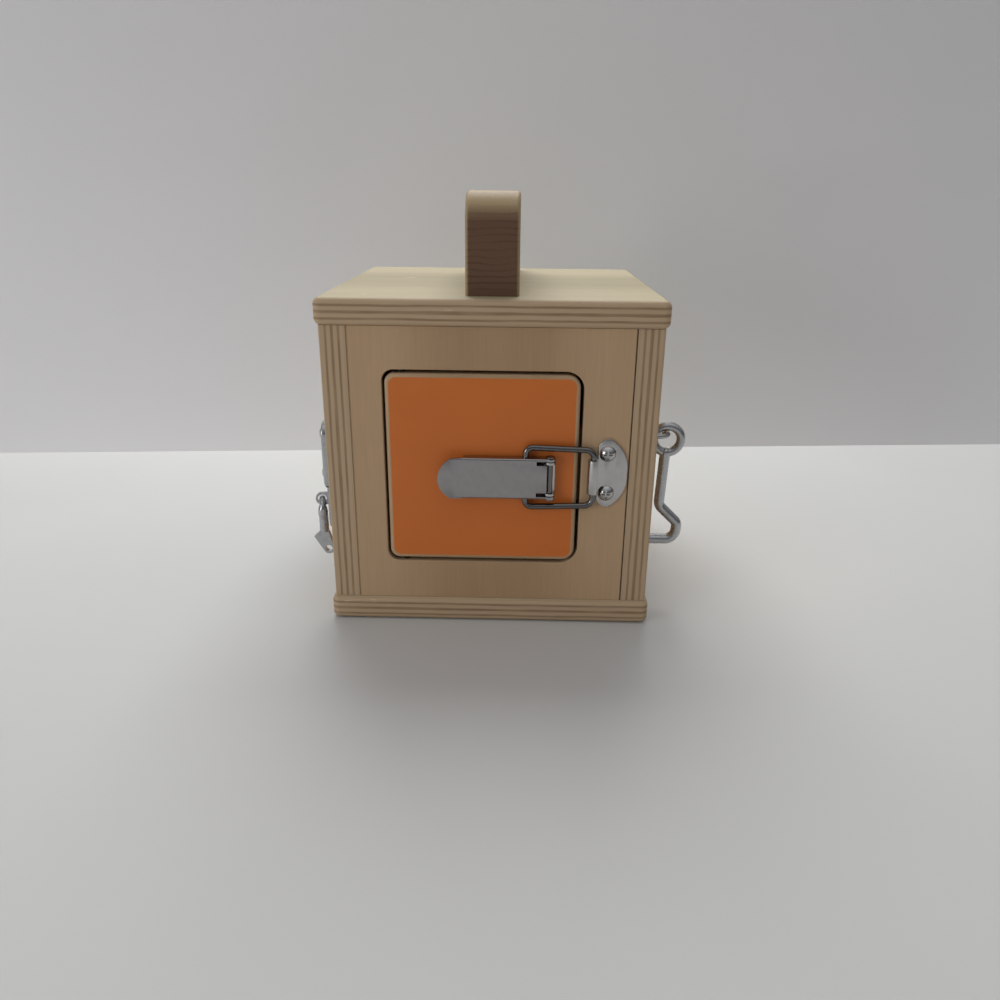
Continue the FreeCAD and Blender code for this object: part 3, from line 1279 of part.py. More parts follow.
def nodes():
    """Every node's name and its solids, each where it belongs."""
    out = {
        "bottom_panel": [bottom_panel()],
        "top_panel": [top_panel()],
        "bottom_dowels": dowels(PLY, 1),
        "top_dowels": dowels(WALL_TOP, -1),
        "handle": [handle()],
        "handle_screws": handle_screws(),
        "handle_washers": handle_washers(),
    }
    for wall in WALLS:
        out[wall + "_panel"] = [wall_panel(wall)]
        out[wall + "_door"] = [door(wall)]
        out[wall + "_door_pins"] = [on_wall(pin, wall) for pin in pivot_pins(PIN_RADIUS, 0.0)]
        out[wall + "_door_stop"] = [door_stop(wall)]
    pieces = {
        "front": {
            "toggle_base": [toggle_base()],
            "toggle_base_screws": screws(toggle_screw_places(), SMALL_HEAD, SMALL_HEAD_HEIGHT),
            "toggle_pin": [toggle_pin()],
            "toggle_lever": [toggle_lever()],
            "toggle_bail": [toggle_bail()],
            "strike_plate": [strike_plate()],
            "strike_screws": screws(strike_screw_places(), SCREW_HEAD, SCREW_HEAD_HEIGHT),
        },
        "right": {
            "hook_eye": [screw_eye(EYE_X, eye_height())],
            "door_eye": [screw_eye(door_eye_x(), eye_height(), DOOR_PROUD)],
            "hook": [hook()],
        },
        "left": {
            "clip_plate": [clip_plate()],
            "clip_plate_screws": screws(clip_screw_places(), SCREW_HEAD, SCREW_HEAD_HEIGHT),
            "clip_body": [clip_body()],
            "clip_gate": [clip_gate()],
            "clip_gate_pin": [clip_gate_pin()],
            "clip_eye": [clip_eye()],
            "hasp_fixed_leaf": [hasp_fixed_leaf()],
            "hasp_leaf_screws": screws(hasp_screw_places(), SMALL_HEAD, SMALL_HEAD_HEIGHT),
            "hasp_pin": [hasp_pin()],
            "hasp_leaf": [hasp_leaf()],
            "staple": [staple()],
            "staple_plate": [staple_plate()],
            "staple_plate_screws": screws(staple_screw_places(), SMALL_HEAD, SMALL_HEAD_HEIGHT),
        },
        "back": {
            "bolt_plate": [bolt_plate()],
            "bolt_plate_screws": screws(bolt_screw_places(), SMALL_HEAD, SMALL_HEAD_HEIGHT),
            "bolt_rod": [bolt_rod()],
            "bolt_knob": [bolt_knob()],
            "bolt_keeper": [bolt_keeper()],
            "bolt_keeper_screws": screws(keeper_screw_places(), SMALL_HEAD, SMALL_HEAD_HEIGHT),
        },
    }
    for wall, group in pieces.items():
        for name, solids in group.items():
            out[name] = [on_wall(solid, wall) for solid in solids]
    return out


def main():
    os.makedirs("parts", exist_ok=True)
    for name, solids in nodes().items():
        shape = solids[0] if len(solids) == 1 else Part.makeCompound(solids)
        shape.exportStep("parts/" + name + ".step")
        state = "valid" if shape.isValid() else "INVALID"
        print(name, len(shape.Solids), "solids", round(shape.Volume, 2), "mm3", state)


main()
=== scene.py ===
"""Looks of a wooden latch box: plywood walls, painted doors, a brown handle and plated latches."""

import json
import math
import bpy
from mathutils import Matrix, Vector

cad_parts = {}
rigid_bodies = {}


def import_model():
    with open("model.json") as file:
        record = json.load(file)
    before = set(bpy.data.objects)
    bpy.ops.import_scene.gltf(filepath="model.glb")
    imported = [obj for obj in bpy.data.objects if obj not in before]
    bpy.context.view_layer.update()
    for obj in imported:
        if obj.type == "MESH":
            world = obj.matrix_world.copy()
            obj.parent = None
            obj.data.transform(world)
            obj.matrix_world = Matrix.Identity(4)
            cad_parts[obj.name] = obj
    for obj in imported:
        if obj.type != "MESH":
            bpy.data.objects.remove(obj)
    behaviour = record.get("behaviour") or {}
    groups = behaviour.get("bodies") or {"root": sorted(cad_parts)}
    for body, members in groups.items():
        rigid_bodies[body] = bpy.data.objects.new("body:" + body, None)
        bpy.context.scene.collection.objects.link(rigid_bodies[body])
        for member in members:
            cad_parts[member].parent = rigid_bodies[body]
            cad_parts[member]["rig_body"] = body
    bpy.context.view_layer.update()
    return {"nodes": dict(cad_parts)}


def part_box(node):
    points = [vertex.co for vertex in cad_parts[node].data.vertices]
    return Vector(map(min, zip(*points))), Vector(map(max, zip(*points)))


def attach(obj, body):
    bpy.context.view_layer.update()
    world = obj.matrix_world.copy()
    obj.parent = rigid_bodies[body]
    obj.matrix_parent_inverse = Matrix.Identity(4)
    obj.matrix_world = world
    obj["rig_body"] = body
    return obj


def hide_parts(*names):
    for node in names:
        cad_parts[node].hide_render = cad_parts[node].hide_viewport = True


bl_info = {
    "name": "Wooden latch box",
    "version": (1, 0, 0),
    "blender": (4, 5, 0),
    "location": "3D View > Sidebar > Latch box",
    "description": "Dresses the packed latch box with wood, paint and plated metal",
    "category": "Object",
}

import bpy
from mathutils import Matrix, Vector

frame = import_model()

MM = 0.001
AXES = (0, 1, 2)
X_AXIS, Y_AXIS, Z_AXIS = AXES


def span(node, axis):
    """Where a CAD node starts and ends along one axis, in millimetres."""
    low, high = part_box(node)
    return round(low[axis] / MM, 3), round(high[axis] / MM, 3)


# The sheets' places in millimetres, measured out from the middle of the box. All four walls stand alike.
WALL_INSIDE, WALL_OUTSIDE = span("right_panel", X_AXIS)
LID_UNDERSIDE, LID_TOP = span("top_panel", Z_AXIS)
WALL_MIDDLE = (WALL_INSIDE + WALL_OUTSIDE) / 2
HALF_PLY = (WALL_OUTSIDE - WALL_INSIDE) / 2
BOX_MIDDLE = LID_TOP / 2
LID_MIDDLE = (LID_UNDERSIDE + LID_TOP) / 2 - BOX_MIDDLE
DOOR_FACE = span("right_door", X_AXIS)[1]
DOOR_CORNER = 4.5
PAINT_DEPTH = 0.06

# Where a cut sheet shows end grain (white) or long grain (black), from its middle at 0 to its face at 1.
# End-grain plies are darker, partly their own colour and partly painted shade of the little hollows sanded
# into them. The grey line is the glue under the face veneer.
PLY_BANDS = [
    (0.0, "#FFFFFF"),
    (0.07, "#FFFFFF"),
    (0.15, "#000000"),
    (0.37, "#000000"),
    (0.44, "#FFFFFF"),
    (0.54, "#FFFFFF"),
    (0.61, "#000000"),
    (0.84, "#000000"),
    (0.87, "#B4B4B4"),
    (0.9, "#000000"),
]
FACE_VENEER = 0.955

# The dark figure in the middle of a sheet's face fades out between these distances from its centre line.
HEART_FROM = 12.0
HEART_TO = 42.0
HEART_SHARE = 0.62

# The dark line at the seam of a front or back wall, partly dirt in the joint and partly painted shade of its
# narrow gap, starts and is darkest at these distances from the side wall's inner face.
SEAM_START = 0.75
SEAM_FULL = 0.35

# One growth ring of the handle, from its pale early wood to its dark late wood, and rings in a millimetre.
GROWTH_RING = [(0.0, "#000000"), (0.55, "#505050"), (0.9, "#FFFFFF"), (1.0, "#000000")]
RINGS_PER_MM = 0.42

EDGE_SEGMENTS = 3
EDGE_ANGLE = math.radians(32.0)
FLAT_ANGLE = math.radians(1.0)
SMOOTH_ANGLE = math.radians(40.0)
MERGE_DISTANCE = 0.00001

STAGE_SIZE = 6.0
FLOOR_DROP = 0.0002

# The soft light of the room, from straight down at 0 to straight up at 1.
ROOM_LIGHT = [(0.0, "#4A4A4C"), (0.12, "#4A4A4C"), (0.55, "#96989A"), (1.0, "#DADBDC")]

# The camera's place in millimetres, its turns in radians and its focal length in pixels of the picture.
CAMERA_PLACE = (9.33, -360.72, 166.01)
CAMERA_YAW = 0.0187
CAMERA_PITCH = 0.3634
CAMERA_ROLL = 0.0102
FOCAL_PIXELS = 810.6
PICTURE_PIXELS = 1000.0
SENSOR_WIDTH = 36.0


def linear(hex_colour):
    """An sRGB hex colour as the linear colour that Blender's sockets take."""
    channels = [int(hex_colour[i : i + 2], 16) / 255 for i in (1, 3, 5)]
    return tuple(c / 12.92 if c <= 0.04045 else ((c + 0.055) / 1.055) ** 2.4 for c in channels)


def rgba(hex_colour):
    return (*linear(hex_colour), 1.0)


def hex_property(name, description, default):
    return bpy.props.StringProperty(name=name, description=description, default=default)


def length_property(name, description, default, least):
    return bpy.props.FloatProperty(
        name=name, description=description, default=default, min=least, subtype="DISTANCE", precision=5
    )


class LatchBoxWood(bpy.types.PropertyGroup):
    face_colour: hex_property("Face veneer", "Colour of the walls' face veneer", "#C7A682")
    # The lid's two veneer colours are paler and greener than the walls': partly the lid's own tone, partly
    # painted whitish sheen on the lying top.
    lid_colour_and_sheen: hex_property("Lid veneer and painted sheen", "Colour of the top and bottom panels' face veneer", "#BAAC8B")
    face_dark: hex_property("Face figure", "Darker figure in the walls' face veneer", "#B08E6A")
    lid_figure_and_sheen: hex_property("Lid figure and painted sheen", "Darker figure in the top and bottom panels' face veneer", "#9D9170")
    long_ply: hex_property("Long plies", "Edge plies whose grain runs along the edge", "#C0A585")
    # End-grain plies: partly their own darker colour, partly painted shade of their sanded hollows.
    cross_ply_and_shade: hex_property("Cross plies", "Edge plies that show end grain", "#95795A")
    # Seam colour: partly dirt in the joint, partly painted shade of the narrow gap between two walls.
    seam: hex_property("Seam", "Dark line where two walls meet", "#3A2A1C")
    scuff: hex_property("Scuff", "Pale streaks on knocked edges", "#DCCDB0")
    handle_long: hex_property("Handle, long grain", "Colour along the handle's grain", "#AD9672")
    handle_end: hex_property("Handle, end grain", "Colour of the handle's end grain", "#6E5341")
    handle_ring: hex_property("Handle, late wood", "Darker growth rings of the handle", "#553C2D")
    inner_colour: hex_property("Inner wood", "Colour of the dowels and door stops", "#D8BE92")
    inner_dark: hex_property("Inner fibres", "Darker fibres of the dowels and door stops", "#B9966A")
    fibre: length_property("Fibre width", "Width of a fibre streak in the plywood's face", 0.7 * MM, 0.1 * MM)


class LatchBoxPaint(bpy.types.PropertyGroup):
    front: hex_property("Front door", "Paint of the door with the toggle latch", "#D8742B")
    right: hex_property("Right door", "Paint of the door with the hook", "#E3B32B")
    back: hex_property("Back door", "Paint of the door with the bolt", "#5E9A49")
    left: hex_property("Left door", "Paint of the door with the hasp", "#3D86A6")
    bare_rim: length_property("Bare rim", "Width of the unpainted rim of a door", 1.5 * MM, 0.0)
    roughness: bpy.props.FloatProperty(
        name="Paint roughness", description="Roughness of the satin paint", default=0.5, min=0.06, max=0.94
    )


class LatchBoxMetal(bpy.types.PropertyGroup):
    plate: hex_property("Nickel plate", "Pressed parts of the latches", "#C9C7C6")
    wire: hex_property("Plated wire", "Screw eyes and small wire parts", "#B6B5B5")
    # The toggle's lever, loop and pin are darker than the other plated parts: partly a darker plate, partly
    # painted shade standing in for their dark reflections.
    lever: hex_property("Toggle lever", "Darker plate and painted shade of the toggle's lever", "#A8A4A5")
    toggle_wire_and_shade: hex_property("Toggle wire", "Darker plate and painted shade of the toggle's loop and pin", "#7A7877")
    cast: hex_property("Zinc casting", "The hook and the snap clip", "#BFC0C2")
    plain: hex_property("Plain steel", "Screws and washers inside", "#8F8E8C")
    oiled: hex_property("Oiled steel", "Dark pins that the doors turn on", "#38342F")
    edge_round: length_property("Edge rounding", "Rounding of stamped edges", 0.22 * MM, 0.02 * MM)


class LatchBoxStage(bpy.types.PropertyGroup):
    floor: hex_property("Floor", "Colour of the floor", "#CFCFCD")
    wall: hex_property("Wall", "Colour of the wall behind", "#F1EFF0")
    wall_distance: length_property("Wall distance", "Distance of the wall behind the box", 176 * MM, 0.0)
    wall_turn: bpy.props.FloatProperty(
        name="Wall turn",
        description="Turn of the wall about the upright line",
        default=math.radians(4.7),
        subtype="ANGLE",
    )


def wood_settings():
    return bpy.context.scene.latch_box_wood


def paint_settings():
    return bpy.context.scene.latch_box_paint


def metal_settings():
    return bpy.context.scene.latch_box_metal


def stage_settings():
    return bpy.context.scene.latch_box_stage


def add_node(tree, kind, values=None, links=None, **settings):
    """Adds a node with its settings, its socket values and the sockets that feed it."""
    node = tree.nodes.new(kind)
    for key, value in settings.items():
        setattr(node, key, value)
    for key, value in (values or {}).items():
        node.inputs[key].default_value = value
    for key, socket in (links or {}).items():
        tree.links.new(socket, node.inputs[key])
    return node


def new_material(name, **shader):
    """A material with its shader, whose plain values stand on the shader's own sockets."""
    material = bpy.data.materials.new(name)
    material.use_nodes = True
    tree = material.node_tree
    bsdf = tree.nodes["Principled BSDF"]
    for key, value in shader.items():
        bsdf.inputs[key.replace("_", " ")].default_value = value
    return material, tree, bsdf


def vector_maths(tree, operation, vector, second=None):
    """One step of vector arithmetic on a socket, with a second vector of plain numbers where it takes one."""
    values = {} if second is None else {1: second}
    return add_node(tree, "ShaderNodeVectorMath", values, {0: vector}, operation=operation).outputs[0]


def object_mm(tree):
    """Object coordinates in millimetres."""
    place = add_node(tree, "ShaderNodeTexCoord").outputs["Object"]
    return vector_maths(tree, "MULTIPLY", place, (1 / MM,) * 3)


def axis_of(tree, vector, axis):
    return add_node(tree, "ShaderNodeSeparateXYZ", {}, {0: vector}).outputs[axis]


def maths(tree, operation, first, second=None, third=None, clamp=False):
    """One arithmetic step between sockets or numbers."""
    node = add_node(tree, "ShaderNodeMath", operation=operation, use_clamp=clamp)
    for index, term in enumerate((first, second, third)):
        if term is None:
            continue
        if isinstance(term, (int, float)):
            node.inputs[index].default_value = term
        else:
            tree.links.new(term, node.inputs[index])
    return node.outputs[0]


def between(tree, share, low, high, clamp=False):
    """A share of 0 to 1 as a value from low to high."""
    return maths(tree, "MULTIPLY_ADD", share, high - low, low, clamp)


def fade(tree, value, start, end, low=0.0, high=1.0, shape="LINEAR"):
    """Goes from low to high while the value goes from start to end, and stays level beyond them."""
    return add_node(
        tree,
        "ShaderNodeMapRange",
        {"From Min": start, "From Max": end, "To Min": low, "To Max": high},
        {"Value": value},
        clamp=True,
        interpolation_type=shape,
    ).outputs[0]


def along_axis(axis, along, across=1.0):
    """A stretch for noise: one value along an axis, and another across it."""
    return tuple(along if i == axis else across for i in AXES)


def noise(tree, vector, scale, detail=2.0, roughness=0.5, stretch=(1.0, 1.0, 1.0), distortion=0.0):
    """Noise on millimetre coordinates: scale is one over the size of a spot, stretch squeezes each axis."""
    return add_node(
        tree,
        "ShaderNodeTexNoise",
        {"Scale": 1.0, "Detail": detail, "Roughness": roughness, "Distortion": distortion},
        {"Vector": vector_maths(tree, "MULTIPLY", vector, tuple(scale * s for s in stretch))},
    ).outputs["Fac"]


def blend_colours(tree, share, first, second):
    """A mix of two colours, each a hex string or a socket."""
    node = add_node(tree, "ShaderNodeMix", {}, {"Factor": share}, data_type="RGBA")
    for index, colour in ((6, first), (7, second)):
        if isinstance(colour, str):
            node.inputs[index].default_value = rgba(colour)
        else:
            tree.links.new(colour, node.inputs[index])
    return node.outputs[2]


def shade_colour(tree, colour, amount):
    """A colour made lighter or darker by an amount near 1; the colour is a hex string or a socket."""
    node = add_node(tree, "ShaderNodeVectorMath", {}, {"Scale": amount}, operation="SCALE")
    if isinstance(colour, str):
        node.inputs[0].default_value = linear(colour)
    else:
        tree.links.new(colour, node.inputs[0])
    return node.outputs[0]


def ramp(tree, value, stops):
    """A colour ramp with hex stops."""
    node = add_node(tree, "ShaderNodeValToRGB", {}, {"Fac": value})
    elements = node.color_ramp.elements
    while len(elements) < len(stops):
        elements.new(0.5)
    for element, (position, colour) in zip(elements, stops):
        element.position = position
        element.color = rgba(colour)
    return node.outputs["Color"]


def set_colour(tree, bsdf, colour):
    tree.links.new(colour, bsdf.inputs["Base Color"])


def set_roughness(tree, bsdf, pattern, low, high):
    """Roughness that goes from low to high with a pattern."""
    tree.links.new(between(tree, pattern, low, high), bsdf.inputs["Roughness"])


def set_bump(tree, bsdf, height, strength, distance):
    """Fine relief; the distance is in millimetres."""
    values = {"Strength": strength, "Distance": distance * MM}
    bump = add_node(tree, "ShaderNodeBump", values, {"Height": height})
    tree.links.new(bump.outputs["Normal"], bsdf.inputs["Normal"])


def sheet_depth(tree, place, axis):
    """The share of the way from the middle of a sheet to its face, which is the same on all six sheets."""
    coordinate = axis_of(tree, place, axis)
    middle = WALL_MIDDLE
    if axis == Z_AXIS:
        coordinate = maths(tree, "SUBTRACT", coordinate, BOX_MIDDLE)
        middle = LID_MIDDLE
    depth = maths(tree, "ABSOLUTE", maths(tree, "SUBTRACT", maths(tree, "ABSOLUTE", coordinate), middle))
    wobble = between(tree, noise(tree, place, 0.06), -0.25, 0.25)
    return maths(tree, "DIVIDE", maths(tree, "ADD", depth, wobble), HALF_PLY)


def ply_stack(tree, place, axis, share):
    """The cut edge of a sheet: long-grain plies with softly frayed end-grain plies between them."""
    wood = wood_settings()
    fray = noise(tree, place, 0.5, 3.0, 0.6, along_axis(axis, 1.5, 0.12))
    band = ramp(tree, share, PLY_BANDS)
    strength = maths(tree, "MULTIPLY", band, between(tree, fray, 0.1, 1.6, clamp=True))
    return blend_colours(tree, strength, wood.long_ply, wood.cross_ply_and_shade)


def veneer(tree, place, axis, along, face, dark):
    """The face of a sheet: a broad figure that is strongest in the middle."""
    figure = noise(tree, place, 0.09, 3.0, 0.5, along_axis(along, 0.12), 0.6)
    across = maths(tree, "ABSOLUTE", axis_of(tree, place, sum(AXES) - axis - along))
    heart = fade(tree, across, HEART_FROM, HEART_TO, HEART_SHARE, 0.0, "SMOOTHSTEP")
    return blend_colours(tree, maths(tree, "MULTIPLY_ADD", figure, 0.5, heart, clamp=True), face, dark)


def ply_colour(tree, place, axis, along, face, dark):
    """Plywood as a solid, with its fine streaks: veneer on the faces and plies wherever the stack is cut.

    The sheet is thin along one axis and its fibres run along another. Its depth is measured from its middle,
    so both faces and every eased edge come out right.
    """
    share = sheet_depth(tree, place, axis)
    is_face = maths(tree, "GREATER_THAN", share, FACE_VENEER)
    stack = ply_stack(tree, place, axis, share)
    colour = blend_colours(tree, is_face, stack, veneer(tree, place, axis, along, face, dark))
    streaks = noise(tree, place, MM / wood_settings().fibre, 4.0, 0.6, along_axis(along, 0.03))
    return shade_colour(tree, colour, between(tree, streaks, 0.89, 1.11)), streaks


def seam_dirt_and_shade_line(tree, place, colour, deep, faint):
    """The dark line where the wall's end meets the side wall, deep at the +X end and faint at the other:
    partly dirt in the joint, partly painted shade of the narrow gap.
    """
    across = axis_of(tree, place, X_AXIS)
    outward = maths(tree, "ABSOLUTE", across)
    near = fade(tree, outward, WALL_INSIDE - SEAM_START, WALL_INSIDE - SEAM_FULL)
    side = between(tree, maths(tree, "GREATER_THAN", across, 0.0), faint, deep)
    ragged = between(tree, noise(tree, place, 0.25), 0.7, 1.3)
    depth = maths(tree, "MULTIPLY", maths(tree, "MULTIPLY", near, side), ragged, clamp=True)
    return blend_colours(tree, depth, colour, wood_settings().seam)


def scuffed(tree, place, colour, along):
    """Small pale streaks where the varnished wood has been knocked."""
    knocks = noise(tree, place, 0.55, stretch=along_axis(along, 0.18))
    return blend_colours(tree, fade(tree, knocks, 0.71, 0.76, 0.0, 0.55), colour, wood_settings().scuff)


def plywood(name, axis, along, face, dark, seam=False):
    """Birch plywood under a thin clear varnish: satin, with fine streaks that catch a little light."""
    material, tree, bsdf = new_material(name, IOR=1.5)
    place = object_mm(tree)
    colour, streaks = ply_colour(tree, place, axis, along, face, dark)
    if seam:
        # The seam's dark line is partly painted shade of the gap between the walls.
        colour = seam_dirt_and_shade_line(tree, place, colour, deep=1.0, faint=0.45)
    if axis == Z_AXIS:
        colour = scuffed(tree, place, colour, along)
    set_colour(tree, bsdf, colour)
    set_roughness(tree, bsdf, streaks, 0.58, 0.72)
    set_bump(tree, bsdf, streaks, 0.35, 0.05)
    return material


def inside_door(tree, place, axis, node, rim):
    """How far a point lies inside the door's rounded outline drawn in by the bare rim, in millimetres."""
    ends = [span(node, i) for i in AXES]
    middle = [0.0 if i == axis else (low + high) / 2 for i, (low, high) in enumerate(ends)]
    half = [0.0 if i == axis else (high - low) / 2 - DOOR_CORNER for i, (low, high) in enumerate(ends)]
    folded = vector_maths(tree, "ABSOLUTE", vector_maths(tree, "SUBTRACT", place, middle))
    beyond = vector_maths(tree, "SUBTRACT", folded, half)
    corner = vector_maths(tree, "MAXIMUM", beyond, (0.0, 0.0, 0.0))
    level = vector_maths(tree, "MULTIPLY", corner, along_axis(axis, 0.0))
    reach = add_node(tree, "ShaderNodeVectorMath", {}, {0: level}, operation="LENGTH").outputs["Value"]
    return maths(tree, "SUBTRACT", DOOR_CORNER - rim, reach)


def painted_ply(name, axis, along, paint, node):
    """A plywood door whose face is painted up to its rounded edge, which stays bare wood."""
    settings = paint_settings()
    wood = wood_settings()
    material, tree, bsdf = new_material(name, IOR=1.5)
    place = object_mm(tree)
    bare, streaks = ply_colour(tree, place, axis, along, wood.face_colour, wood.face_dark)
    ragged = between(tree, noise(tree, place, 0.9, 3.0), -0.03, 0.03)
    height = maths(tree, "ADD", maths(tree, "ABSOLUTE", axis_of(tree, place, axis)), ragged)
    edge = maths(tree, "ADD", inside_door(tree, place, axis, node, settings.bare_rim / MM), ragged)
    on_top = maths(tree, "GREATER_THAN", height, DOOR_FACE - PAINT_DEPTH)
    painted = maths(tree, "MULTIPLY", on_top, maths(tree, "GREATER_THAN", edge, 0.0))
    cloud = noise(tree, place, 0.05)
    coat = noise(tree, place, 1.6, 3.0, 0.6)
    coloured = shade_colour(tree, paint, between(tree, cloud, 0.94, 1.06))
    set_colour(tree, bsdf, blend_colours(tree, painted, bare, coloured))
    surfaces = {0: painted, 2: streaks, 3: coat}
    surface = add_node(tree, "ShaderNodeMix", {}, surfaces, data_type="FLOAT").outputs[0]
    set_roughness(tree, bsdf, surface, settings.roughness - 0.06, settings.roughness + 0.06)
    set_bump(tree, bsdf, surface, 0.3, 0.04)
    return material


def growth_rings(tree, place):
    """Late wood of the handle: gently bent rings, some faint and some strong, as in a real board."""
    bend = noise(tree, place, 0.045, stretch=along_axis(Y_AXIS, 0.25))
    layer = maths(tree, "MULTIPLY_ADD", bend, 5.5, axis_of(tree, place, Z_AXIS))
    rings = maths(tree, "FRACT", maths(tree, "MULTIPLY", layer, RINGS_PER_MM))
    season = noise(tree, place, 0.16, stretch=along_axis(Z_AXIS, 1.0, 0.2))
    return maths(tree, "MULTIPLY", ramp(tree, rings, GROWTH_RING), fade(tree, season, 0.38, 0.62))


def handle_wood(name):
    """Beech stained brown and waxed: the grain runs along Y, so the ends take the most stain."""
    wood = wood_settings()
    material, tree, bsdf = new_material(name, IOR=1.5, Specular_IOR_Level=0.25)
    place = object_mm(tree)
    normal = add_node(tree, "ShaderNodeTexCoord").outputs["Normal"]
    end = fade(tree, maths(tree, "ABSOLUTE", axis_of(tree, normal, Y_AXIS)), 0.8, 0.997)
    base = blend_colours(tree, end, wood.handle_long, wood.handle_end)
    amount = maths(tree, "MULTIPLY", growth_rings(tree, place), between(tree, end, 0.12, 0.74))
    pores = noise(tree, place, 2.2, 3.0, 0.6, along_axis(Y_AXIS, 0.06))
    ringed = blend_colours(tree, amount, base, wood.handle_ring)
    set_colour(tree, bsdf, shade_colour(tree, ringed, between(tree, pores, 0.8, 1.2)))
    set_roughness(tree, bsdf, pores, 0.36, 0.56)
    set_bump(tree, bsdf, pores, 0.4, 0.06)
    return material


def plain_wood(name, colour, dark):
    """Unfinished softwood of the inner pieces: dull, with close fibres."""
    material, tree, bsdf = new_material(name, Roughness=0.8, IOR=1.5)
    place = object_mm(tree)
    fibres = noise(tree, place, 1.3, 3.0, 0.6, along_axis(Z_AXIS, 0.05))
    set_colour(tree, bsdf, blend_colours(tree, fibres, colour, dark))
    set_bump(tree, bsdf, fibres, 0.4, 0.06)
    return material


def smooth_metal(name, colour, roughness, waviness, grain=0.0):
    """Plated or drawn metal: it mirrors softly, with slow waves in its surface and, where cast, fine grit."""
    material, tree, bsdf = new_material(name, Metallic=1.0)
    place = object_mm(tree)
    smudge = noise(tree, place, 0.35, 3.0, 0.6)
    set_colour(tree, bsdf, shade_colour(tree, colour, between(tree, smudge, 1.0, 0.82)))
    set_roughness(tree, bsdf, smudge, roughness - 0.05, roughness + 0.09)
    waves = noise(tree, place, 0.22, 1.0, 0.4)
    grit = noise(tree, place, 4.0)
    set_bump(tree, bsdf, maths(tree, "MULTIPLY_ADD", grit, grain, waves), waviness, 0.4)
    return material


def dress(material, *names):
    """Gives CAD nodes a material."""
    for name in names:
        slots = frame["nodes"][name].data.materials
        slots.clear()
        slots.append(material)


def nodes_named(start="", end=""):
    return [name for name in frame["nodes"] if name.startswith(start) and name.endswith(end)]


def select_only(obj):
    bpy.ops.object.select_all(action="DESELECT")
    obj.select_set(True)
    bpy.context.view_layer.objects.active = obj


def eased_copy(node, name, width, material):
    """A copy of a CAD node whose stamped edges are rounded, in place of the node."""
    source = frame["nodes"][node]
    piece = bpy.data.objects.new(name, source.data.copy())
    bpy.context.scene.collection.objects.link(piece)
    select_only(piece)
    bpy.ops.object.mode_set(mode="EDIT")
    bpy.ops.mesh.select_all(action="SELECT")
    bpy.ops.mesh.remove_doubles(threshold=MERGE_DISTANCE)
    bpy.ops.mesh.dissolve_limited(angle_limit=FLAT_ANGLE)
    bpy.ops.object.mode_set(mode="OBJECT")
    piece.data.materials.clear()
    piece.data.materials.append(material)
    bevel = piece.modifiers.new("edge rounding", "BEVEL")
    bevel.width = width
    bevel.segments = EDGE_SEGMENTS
    bevel.limit_method = "ANGLE"
    bevel.angle_limit = EDGE_ANGLE
    bpy.ops.object.modifier_apply(modifier=bevel.name)
    bpy.ops.object.shade_smooth_by_angle(angle=SMOOTH_ANGLE)
    body = source["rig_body"]
    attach(piece, body)
    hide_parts(node)


